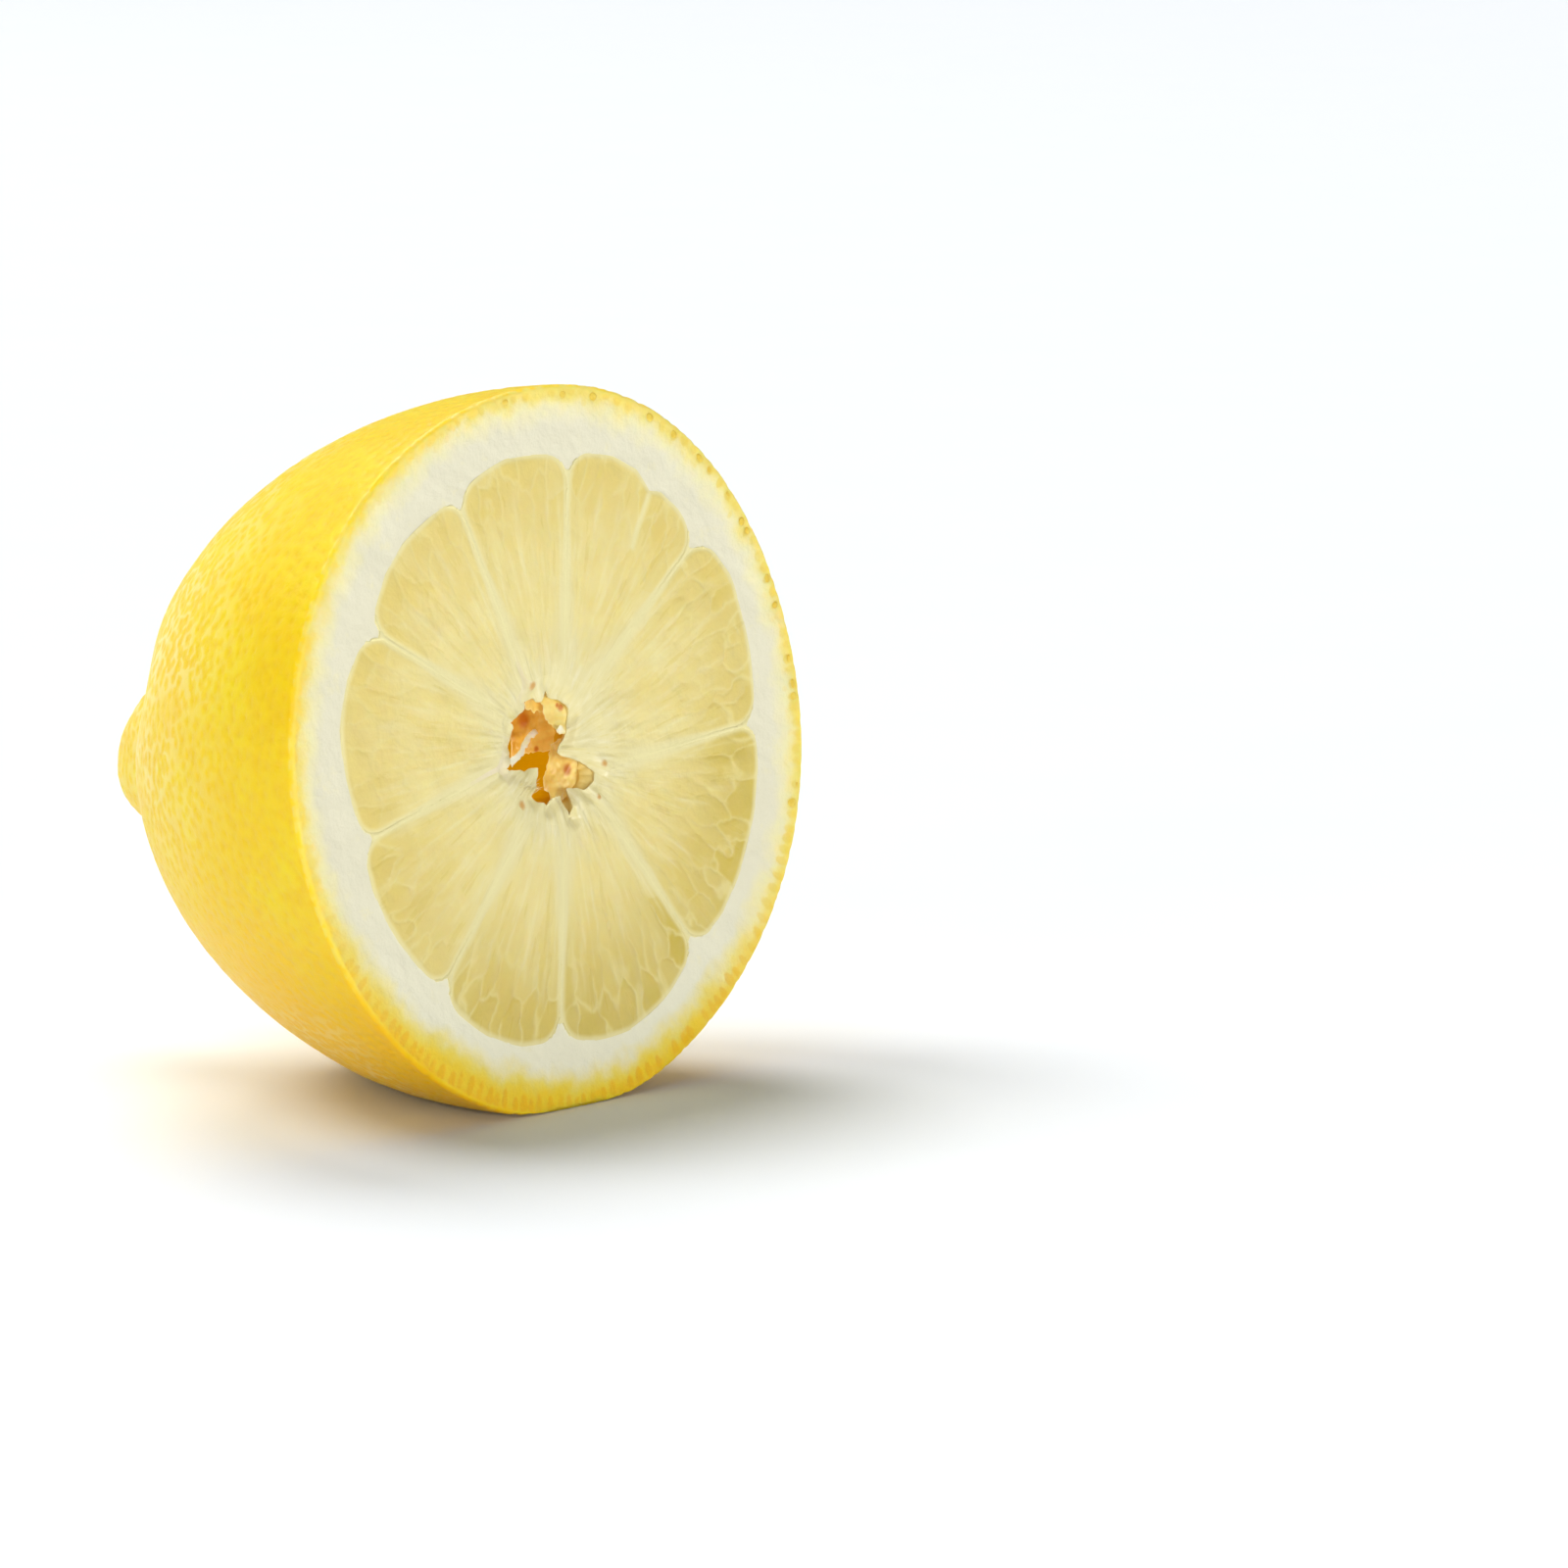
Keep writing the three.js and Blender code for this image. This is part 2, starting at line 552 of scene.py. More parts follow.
@dataclass(frozen=True)
class CutFace:
    """The layout of the cut face: septa, the pulp's outer edge and the torn core's mouth."""

    septa: tuple[Septum, ...] = (
        Septum((6.4, -2.0), (22.4, -0.6)),
        Septum((4.7, 4.9), (16.5, 14.1)),
        Septum((1.6, 5.8), (3.4, 23.0)),
        Septum((-3.2, 6.2), (-9.2, 20.4)),
        Septum((-5.6, 3.5), (-19.1, 11.2)),
        Septum((-5.2, -0.4), (-21.7, -4.7)),
        Septum((-4.4, -6.1), (-14.1, -17.2)),
        Septum((0.6, -6.0), (-1.3, -22.6)),
        Septum((5.2, -5.2), (14.3, -16.9)),
    )
    pulp_edge: Pairs = (
        (0, 24.1), (10, 24.5), (22, 25.0), (29, 25.2), (35, 24.7), (41, 23.8), (48, 24.2),
        (54, 24.2), (57, 23.6), (62, 24.5), (69, 24.7), (76, 24.3), (81, 23.8), (90, 24.1),
        (99, 24.4), (106, 24.1), (114, 23.6), (122, 23.8), (131, 24.2), (138, 24.1),
        (144, 23.7), (150, 23.3), (155, 23.9), (162, 24.4), (170, 24.5), (179, 23.9),
        (187, 23.2), (192, 23.0), (202, 23.5), (210, 23.5), (220, 23.3), (231, 23.1),
        (237, 23.8), (246, 24.2), (256, 24.2), (263, 23.7), (267, 23.3), (276, 24.3),
        (286, 24.9), (295, 24.8), (303, 24.3), (310, 23.7), (319, 24.5), (330, 24.6),
        (345, 24.5),
    )
    outer_corner: float = 2.1
    inner_corner: float = 0.9
    tip_radius: float = 6.2
    mouth: Pairs = (
        (-0.45, 4.85), (0.0, 4.3), (0.45, 4.1), (1.1, 3.9), (1.9, 3.6), (2.5, 3.0), (2.6, 2.3),
        (2.3, 1.7), (2.25, 1.1), (1.9, 0.5), (1.35, 0.3), (0.9, -0.1), (1.2, -0.45),
        (1.9, -0.8), (2.6, -1.15), (3.4, -1.4), (4.3, -1.85), (4.85, -2.4), (4.6, -3.1),
        (3.7, -3.75), (2.9, -3.5), (2.1, -3.45), (1.98, -4.4), (1.78, -5.7), (1.4, -5.0),
        (1.2, -4.0), (0.3, -3.9), (-0.3, -4.1), (-0.9, -4.5), (-1.3, -4.25), (-1.9, -4.1),
        (-2.3, -3.6), (-2.05, -3.0), (-1.95, -2.4), (-1.65, -1.9), (-1.45, -1.38),
        (-2.2, -1.28), (-3.0, -1.5), (-3.6, -1.3), (-4.8, -1.15), (-5.75, -1.0),
        (-5.2, -0.6), (-4.7, -0.15), (-4.45, 0.2), (-4.68, 0.6), (-4.62, 1.5), (-4.35, 2.2),
        (-4.85, 2.7), (-4.1, 3.08), (-3.2, 3.35), (-2.7, 3.6), (-2.7, 4.15), (-1.6, 4.35),
        (-1.5, 4.0), (-0.9, 4.0),
    )
    mouth_step: float = 0.13
    mouth_fray: float = 0.03

    def pulp_radius(self, around: Values) -> Values:
        """Where the pulp ends and the rind starts, before the corners are rounded."""
        angles, radii = np.array(self.pulp_edge).T
        return np.interp(np.degrees(around) % 360, angles, radii, period=360)

    def walls(self, number: int) -> tuple[Septum, Septum]:
        """The septa clockwise and anticlockwise of a segment."""
        return self.septa[number], self.septa[(number + 1) % len(self.septa)]

    def into_segment(self, number: int, flat: Points) -> Values:
        """Signed distance to a segment's outline, negative inside.

        Args:
            number: The segment's place, 0 to 8; it lies anticlockwise of that septum.
            flat: Points on the cut face.

        Returns:
            Distances in millimetres.
        """
        before, after = self.walls(number)
        around, radius = around_and_out(flat)
        sides = rounded(before.half(flat) - before.aside(flat),
                        after.half(flat) + after.aside(flat), self.inner_corner)
        inner = rounded(sides, self.tip_radius - radius, self.inner_corner)
        return rounded(inner, radius - self.pulp_radius(around), self.outer_corner)

    def tissue_depth(self, flat: Points) -> Values:
        """Depth behind the cut's plane, the same for pulp and membranes where they meet."""
        around, radius = around_and_out(flat)
        spun = np.column_stack((unit_ways(around), radius / 40))
        fibres = 0.04 * Ripple(0.16, 35).at(spun) + 0.02 * Ripple(0.07, 36).at(spun)
        torn = np.zeros(len(flat))
        near = radius < 8.5
        torn[near] = smooth(1.3, 0.0, gap_to_outline(flat[near], self.mouth_ring())) * (
            0.32 + 0.22 * Ripple(2.2, 33).at(flat[near]))
        return (0.07 + 0.35 * smooth(7.5, 3.5, radius) + fibres * smooth(13, 8, radius)
                + 0.035 * Ripple(3.4, 60).at(flat) + torn)

    def to_pulp(self, flat: Points) -> Values:
        """Signed distance to the nearest segment, negative inside it."""
        return np.min([self.into_segment(number, flat) for number in range(len(self.septa))],
                      axis=0)

    def rind_edge(self, steps: int) -> Points:
        """The rind's inner outline, which follows the segments' rounded ends.

        Args:
            steps: How many corners, evenly spaced.

        Returns:
            Points on the cut face, anticlockwise.
        """
        reach = 0.3
        around = np.linspace(0, TURN, 1440, endpoint=False)
        radii = np.linspace(20, 26, 241)
        grid_around, grid_radii = np.meshgrid(around, radii)
        flat = unit_ways(grid_around.ravel()) * grid_radii.ravel()[:, None]
        near = self.to_pulp(flat).reshape(grid_radii.shape) < reach
        last = np.where(near, grid_radii, 0).max(axis=0) - reach + 0.02
        window = np.hanning(9)
        last = np.convolve(np.concatenate((last[-4:], last, last[:4])), window / window.sum(),
                           "valid")
        return even_ring(unit_ways(around) * last[:, None], steps)

    def mouth_ring(self) -> Points:
        """The torn mouth's outline, evenly stepped and frayed."""
        corners = np.array(self.mouth)
        sides = np.linalg.norm(np.roll(corners, -1, axis=0) - corners, axis=1)
        ring = even_ring(corners, int(sides.sum() / self.mouth_step))
        ahead = np.roll(ring, -1, axis=0) - np.roll(ring, 1, axis=0)
        out = np.column_stack((ahead[:, 1], -ahead[:, 0]))
        out /= np.linalg.norm(out, axis=1)[:, None]
        return ring + out * (self.mouth_fray * Ripple(0.7, 5).at(ring))[:, None]


def spotted(flat: Points, spots: Triples, heart: float) -> Values:
    """How much each point belongs to a spot.

    Args:
        flat: Points on the cut face.
        spots: Rows of (across, up, radius).
        heart: The share of a spot's radius where it is full.

    Returns:
        Shares from 0 to 1.
    """
    best = np.zeros(len(flat))
    for across, up, radius in spots:
        gap = np.hypot(flat[:, 0] - across, flat[:, 1] - up)
        best = np.maximum(best, smooth(radius, radius * heart, gap))
    return best


def rounded(one: Values, other: Values, radius: float) -> Values:
    """Signed distance to what lies inside both of two outlines, its corner rounded."""
    a, b = one + radius, other + radius
    return np.minimum(np.maximum(a, b), 0) + np.hypot(np.maximum(a, 0), np.maximum(b, 0)) - radius


def even_ring(corners: Points, steps: int) -> Points:
    """Steps evenly along a closed outline.

    Args:
        corners: The outline's corners.
        steps: How many points to return.

    Returns:
        The points, the first at the first corner.
    """
    closed = np.vstack((corners, corners[:1]))
    travelled = np.concatenate(([0], np.cumsum(np.linalg.norm(np.diff(closed, axis=0), axis=1))))
    wanted = np.linspace(0, travelled[-1], steps, endpoint=False)
    return np.column_stack([np.interp(wanted, travelled, closed[:, axis])
                            for axis in range(corners.shape[1])])


class NodeWork:
    """Adds and links nodes in one tree; the kind of tree decides the nodes' family."""

    family = "ShaderNode"

    def __init__(self, tree: bpy.types.NodeTree) -> None:
        """Keeps the tree that the nodes go into."""
        self.tree = tree

    def node(self, kind: str, settings: dict[str, object] | None = None,
             **inputs: object) -> bpy.types.Node:
        """Adds a node.

        Args:
            kind: The node's type, without its family's prefix unless it has another.
            settings: Properties to set on it.
            inputs: Values or sockets by input name, spaces written as underscores.

        Returns:
            The node.
        """
        full = kind if kind.startswith(("Shader", "Function")) else self.family + kind
        node = self.tree.nodes.new(full)
        for key, value in (settings or {}).items():
            setattr(node, key, value)
        for key, value in inputs.items():
            self.feed(node.inputs[key.replace("_", " ")], value)
        return node

    def feed(self, socket: Socket, value: object) -> None:
        """Links a socket to an input, or sets the input's value."""
        if isinstance(value, Socket):
            self.tree.links.new(value, socket)
        else:
            socket.default_value = value

    def maths(self, operation: str, *values: object) -> Socket:
        """Adds a Math node and gives its result."""
        node = self.node("ShaderNodeMath", {"operation": operation})
        for socket, value in zip(node.inputs, values):
            self.feed(socket, value)
        return node.outputs[0]

    def times(self, one: object, other: object) -> Socket:
        """The product of two values."""
        return self.maths("MULTIPLY", one, other)

    def scaled(self, value: object, scale: object, shift: object) -> Socket:
        """A value times a scale, plus a shift."""
        return self.maths("MULTIPLY_ADD", value, scale, shift)

    def vector(self, operation: str, *values: object) -> Socket:
        """Adds a Vector Math node and gives its vector."""
        node = self.node("ShaderNodeVectorMath", {"operation": operation})
        sockets = [s for s in node.inputs if s.enabled]
        if operation == "SCALE":
            sockets = [node.inputs[0], node.inputs["Scale"]]
        for socket, value in zip(sockets, values):
            self.feed(socket, value)
        return node.outputs[0]


class GeometryTree(NodeWork):
    """Builds one Geometry Nodes tree with named inputs."""

    family = "GeometryNode"

    def __init__(self, name: str) -> None:
        """Starts a tree that takes and gives a geometry.

        Args:
            name: The tree's name.
        """
        super().__init__(bpy.data.node_groups.new(name, "GeometryNodeTree"))
        self.inputs: dict[str, tuple[str, object]] = {}
        for way in ("INPUT", "OUTPUT"):
            self.tree.interface.new_socket("Geometry", in_out=way,
                                           socket_type="NodeSocketGeometry")
        self.entry = self.tree.nodes.new("NodeGroupInput")
        self.exit = self.tree.nodes.new("NodeGroupOutput")

    def size(self, name: str, value: float | int) -> Socket:
        """Adds a named number input and gives its socket inside the tree."""
        kind = "NodeSocketInt" if isinstance(value, int) else "NodeSocketFloat"
        entry = self.tree.interface.new_socket(name, in_out="INPUT", socket_type=kind)
        entry.default_value = value
        self.inputs[name] = (entry.identifier, value)
        return self.entry.outputs[name]

    def note(self, name: str, kind: str = "FLOAT") -> Socket:
        """Reads a value that the mesh carries, by its name."""
        node = self.node("InputNamedAttribute", {"data_type": kind}, Name=name)
        return next(s for s in node.outputs if s.enabled and s.name == "Attribute")

    def finish(self, geometry: Socket, material: Material) -> None:
        """Ends the tree: instances made real, the material set."""
        real = self.node("RealizeInstances", Geometry=geometry)
        dressed = self.node("SetMaterial", Geometry=real.outputs[0], Material=material)
        self.tree.links.new(dressed.outputs[0], self.exit.inputs[0])

    def apply(self, piece: Piece) -> Piece:
        """Runs the tree on a piece and keeps the result as a plain mesh.

        Args:
            piece: The object whose mesh goes in; it keeps its name.

        Returns:
            The same object with its new mesh and no modifier.
        """
        modifier = piece.modifiers.new(self.tree.name, "NODES")
        modifier.node_group = self.tree
        for identifier, value in self.inputs.values():
            modifier[identifier] = value
        graph = bpy.context.evaluated_depsgraph_get()
        made = bpy.data.meshes.new_from_object(piece.evaluated_get(graph), depsgraph=graph)
        old = piece.data
        piece.modifiers.remove(modifier)
        piece.data = made
        bpy.data.meshes.remove(old)
        made.name = piece.name
        bpy.data.node_groups.remove(self.tree)
        return piece


@dataclass
class Rind:
    """The skin with its pits, the rounded rim, and the cut zest and pith down to the pulp.

    Its mesh is one closed body, because the rind grew as one.
    """

    form: FruitForm
    face: CutFace
    bevel: float = 0.45
    rim_steps: int = 760
    edge_steps: int = 620
    pit_gap: float = 0.86
    pit_radius: float = 0.23
    pit_depth: float = 0.11
    ridge_gap: float = 0.33
    bowl_gap: float = 0.15
    bowl_step: float = 0.11
    pit_draws: int = 60000
    ridge_draws: int = 200000
    petals: int = 6
    rim_turns: tuple[float, ...] = (22, 45, 68, 90)
    cut_step: float = 0.24
    cup_radius: float = 23.6
    swell: float = 0.16
    swell_size: float = 5.5
    inset: float = 0.07
    furrow: float = 0.22
    crease: float = 0.4
    hollow: float = 0.6
    hump: float = 1.0
    tip: float = 0.45
    hollow_start: float = 3.0
    hollow_depth: float = 26.0
    seed: int = 11
    glands: Points = field(default_factory=lambda: np.zeros((0, 5)))

    def build(self, finish: Material) -> Piece:
        """Makes the whole rind.

        Args:
            finish: The rind's material.

        Returns:
            The finished piece.
        """
        rng = np.random.default_rng(self.seed)
        shell = Shell()
        rim = self.skin(shell, rng)
        shoulder = self.over_rim(shell, rim)
        edge = self.cut_annulus(shell, shoulder, rng)
        self.inner_cup(shell, edge)
        piece = shell.make("rind", self.form)
        return self.relief(finish).apply(piece)

    def skin(self, shell: Shell, rng: Draws) -> Values:
        """Lays the pitted skin.

        Args:
            shell: Where it goes.
            rng: Where the pits' places come from.

        Returns:
            The indices of its ring along the rim.
        """
        rim_off = math.radians(90) - self.bevel / self.form.cut_radius
        chart = SkinMap(self.form, rim_off)
        places = chart.scatter(self.pit_draws, rng, math.radians(92))
        gaps = self.pit_gap * rng.uniform(0.88, 1.22, len(places))
        pits = places[thin_out(chart.turned(places), gaps)]
        size = rng.uniform(0.75, 1.2, len(pits))
        inside = pits[:, 0] < rim_off - 0.35 / self.form.cut_radius
        centres, widths = pits[inside], size[inside] * self.pit_radius
        middle = chart.to_disc(centres)
        spin = rng.uniform(0, TURN, len(centres))
        petals = np.arange(self.petals) * TURN / self.petals
        turns = spin[:, None] + petals[None]
        reach = (chart.disc_scale(centres) * widths)[:, None]
        ring = np.stack((middle[:, :1] + reach * np.cos(turns),
                         middle[:, 1:] + reach * np.sin(turns)), axis=-1).reshape(-1, 2)
        strength = np.clip(size[inside], 0.7, 1.1)
        held = np.hypot(*ring.T) < 0.994
        ring, ring_strength = ring[held], np.repeat(strength, self.petals)[held]
        around = np.arange(self.rim_steps) * TURN / self.rim_steps
        edge = np.column_stack((np.full(self.rim_steps, rim_off), around))
        laid = np.vstack((middle, ring, chart.to_disc(edge)))
        laid_solid = chart.turned(chart.from_disc(laid))
        spare = chart.scatter(self.ridge_draws, rng, rim_off - 0.2 / self.form.cut_radius)
        spare_solid = chart.turned(spare)
        free = gap_to(spare_solid, laid_solid) > self.ridge_gap
        spare, spare_solid = spare[free], spare_solid[free]
        ridge = spare[thin_out(spare_solid, np.full(len(spare), self.ridge_gap * 1.05))]
        flat = np.vstack((laid, chart.to_disc(ridge)))
        polar = chart.from_disc(flat)
        pit = np.zeros(len(flat))
        pit[:len(middle)] = strength
        pit[len(middle):len(middle) + len(ring)] = 0.42 * ring_strength
        rim_place = slice(len(middle) + len(ring), len(laid))
        reach_to_pit = gap_to(chart.turned(edge), chart.turned(pits))
        pit[rim_place] = bell(reach_to_pit / 0.3)
        turned = self.with_furrows(chart.turned(polar), polar)
        indices = shell.add(turned, pit=pit, skin=1, depth=0)
        shell.face(weave(flat, np.arange(rim_place.start, rim_place.stop)))
        return indices[rim_place]

    def with_furrows(self, turned: Points, polar: Points) -> Points:
        """Draws the skin in along furrows round the nipple, and swells its upper flank."""
        off, around = np.degrees(polar[:, 0]), polar[:, 1]
        wave = (np.cos(7 * around + 0.6) + 0.7 * np.cos(11 * around + 2.1)
                + 0.5 * np.cos(4 * around + 4.0))
        window = smooth(3, 9, off) * smooth(34, 14, off)
        dent = self.furrow * window * (0.5 - 0.35 * wave)
        crease = bell((off - 19) / 4) * smooth(-0.3, 0.9, np.sin(around))
        aside = np.degrees(around) % 360
        hollow = bell((off - 34) / 8, (aside - 160) / 13)
        hump = bell((off - 10.5) / 3.5, (aside - 125) / 40)
        tip = bell(off / 1.5)
        dent += self.crease * crease + self.hollow * hollow - self.hump * hump + self.tip * tip
        inward = turned / np.linalg.norm(turned, axis=1)[:, None]
        return turned - inward * dent[:, None]

    def over_rim(self, shell: Shell, rim: Values) -> Values:
        """Rounds the rim from the skin to the cut.

        Args:
            shell: Where it goes.
            rim: The skin's last ring.

        Returns:
            The ring where the flat cut starts.
        """
        places = shell.at(rim)
        pits = shell.all_notes()["pit"][rim]
        around = np.arctan2(places[:, 2], places[:, 0])
        last = rim
        for turn in np.radians(self.rim_turns):
            radius = self.form.cut_radius - self.bevel * (1 - math.cos(turn))
            depth = self.bevel * (1 - math.sin(turn))
            ring = shell.add(
                on_face(unit_ways(around) * radius, depth),
                pit=pits * math.cos(turn * 0.55), skin=math.cos(turn) ** 0.5 if turn < 1.5 else 0,
                depth=self.bevel * (1 - math.cos(turn)))
            shell.bridge(last, ring)
            last = ring
        return last

    def cut_annulus(self, shell: Shell, shoulder: Values, rng: Draws) -> Values:
        """Lays the cut zest and pith, with a bowl for each cut oil gland.

        Args:
            shell: Where it goes.
            shoulder: The ring at its outer edge.
            rng: Where the lattice's small moves come from.

        Returns:
            The ring at its inner edge, along the pulp.
        """
        outer = shell.at(shoulder)[:, [0, 2]]
        inner = self.face.rind_edge(self.edge_steps)
        bowls = self.bowls()
        fine = lattice(self.form.cut_radius, self.cut_step, rng)
        radius = np.hypot(*fine.T)
        fine = fine[(radius < self.form.cut_radius - self.bevel - 0.14) & (radius > 21)]
        fine = fine[~within(fine, inner)]
        fine = fine[gap_to_outline(fine, inner) > 0.13]
        fine = fine[gap_to(on_face(fine, 0), on_face(bowls, 0)) > self.bowl_gap]
        flat = np.vstack((bowls, fine))
        depth_in = self.form.cut_radius - np.hypot(*flat.T)
        gland = self.gland_share(flat)
        waves = Ripple(4.5, 21).at(flat) * 0.05 + Ripple(1.3, 22).at(flat) * 0.016
        sag = 0.1 * smooth(1.5, 4, depth_in) + waves * smooth(0, 1.2, depth_in) + 0.05
        sag = sag * smooth(0, 0.5, depth_in - self.bevel + 0.1) + 0.05 * gland
        edge_dip = 0.05 * smooth(0.35, 0.0, gap_to_outline(flat, inner))
        middle = shell.add(on_face(flat, np.maximum(sag + edge_dip, 0.0)), gland=gland,
                           depth=depth_in)
        inner_depth = self.form.cut_radius - np.hypot(*inner.T)
        edge = shell.add(on_face(inner, 0.14), depth=inner_depth)
        together = np.concatenate((shoulder, middle, edge))
        plane = np.vstack((outer, flat, inner))
        hole = np.arange(len(plane) - len(inner), len(plane))
        shell.face(together[weave(plane, np.arange(len(outer)), hole)])
        return edge

    def gland_axes(self) -> Iterator[tuple[Points, Points, Points, Values]]:
        """Each gland's middle, its long and cross directions, and its sizes and strength."""
        for across, up, *sizes in self.glands:
            way = np.array((across, up)) / math.hypot(across, up)
            yield np.array((across, up)), way, np.array((-way[1], way[0])), sizes

    def bowls(self) -> Points:
        """Vertices that shape a shallow bowl at each cut gland, on the cut face."""
        places = []
        for middle, way, aside, (half_long, half_wide, _) in self.gland_axes():
            for share, count in ((0.0, 1), (0.55, 7), (1.0, 10)):
                turn = TURN * np.arange(count)[:, None] / count
                places.append(middle + way * half_long * share * np.cos(turn)
                              + aside * half_wide * share * np.sin(turn))
        flat = np.concatenate(places)
        flat = flat[np.hypot(*flat.T) < self.form.cut_radius - self.bevel - 0.1]
        return flat[thin_out(on_face(flat, 0), np.full(len(flat), self.bowl_step))]

    def gland_share(self, flat: Points) -> Values:
        """How much each point on the cut face belongs to a cut gland."""
        best = np.zeros(len(flat))
        for middle, way, aside, (half_long, half_wide, strength) in self.gland_axes():
            offset = flat - middle
            reach = np.hypot(offset @ way / half_long, offset @ aside / half_wide)
            best = np.maximum(best, strength * smooth(1.05, 0.6, reach))
        return best

    def inner_cup(self, shell: Shell, edge: Values) -> None:
        """Closes the rind on the inside, where the pulp hides it."""
        flat = shell.at(edge)[:, [0, 2]]
        wall = shell.add(on_face(flat, self.hollow_start), depth=9)
        shell.bridge(edge, wall)
        inner = lattice(0.97, 0.09, np.random.default_rng(self.seed + 1))
        radius = np.hypot(*inner.T)
        across = np.sin(radius * math.pi / 2) * self.cup_radius / np.maximum(radius, 1e-6)
        depth = self.hollow_start + self.hollow_depth * np.cos(radius * math.pi / 2)
        cup = shell.add(on_face(inner * across[:, None], depth), depth=9)
        disc = np.vstack((unit_ways(around_and_out(flat)[0]), inner))
        shell.face(np.concatenate((wall, cup))[weave(disc, np.arange(len(wall)))])

    def relief(self, finish: Material) -> GeometryTree:
        """A tree that sinks the pits into the skin and lets it swell gently between them.

        Args:
            finish: The rind's material.

        Returns:
            The tree, ready to apply.
        """
        tree = GeometryTree("skin_relief")
        depth = tree.size("Pit Depth", self.pit_depth * MM)
        swell = tree.size("Swell Height", self.swell * MM)
        inset = tree.size("Inset", self.inset * MM)
        size = tree.size("Swell Size", self.swell_size * MM)
        seed = tree.size("Seed", float(self.seed))
        place = tree.vector("SCALE", tree.node("InputPosition").outputs[0],
                            tree.maths("DIVIDE", 1.0, size))
        waves = tree.node("ShaderNodeTexNoise", {"noise_dimensions": "4D"}, Vector=place,
                          W=seed, Scale=1.0, Detail=2.0, Roughness=0.55)
        dent = tree.times(tree.note("pit"), depth)
        sink = tree.times(tree.scaled(waves.outputs[0], swell, inset), tree.note("skin"))
        move = tree.vector("SCALE", tree.node("InputNormal").outputs[0],
                           tree.times(tree.maths("ADD", dent, sink), -1.0))
        moved = tree.node("SetPosition", Geometry=tree.entry.outputs[0], Offset=move)
        tree.finish(moved.outputs[0], finish)
        return tree


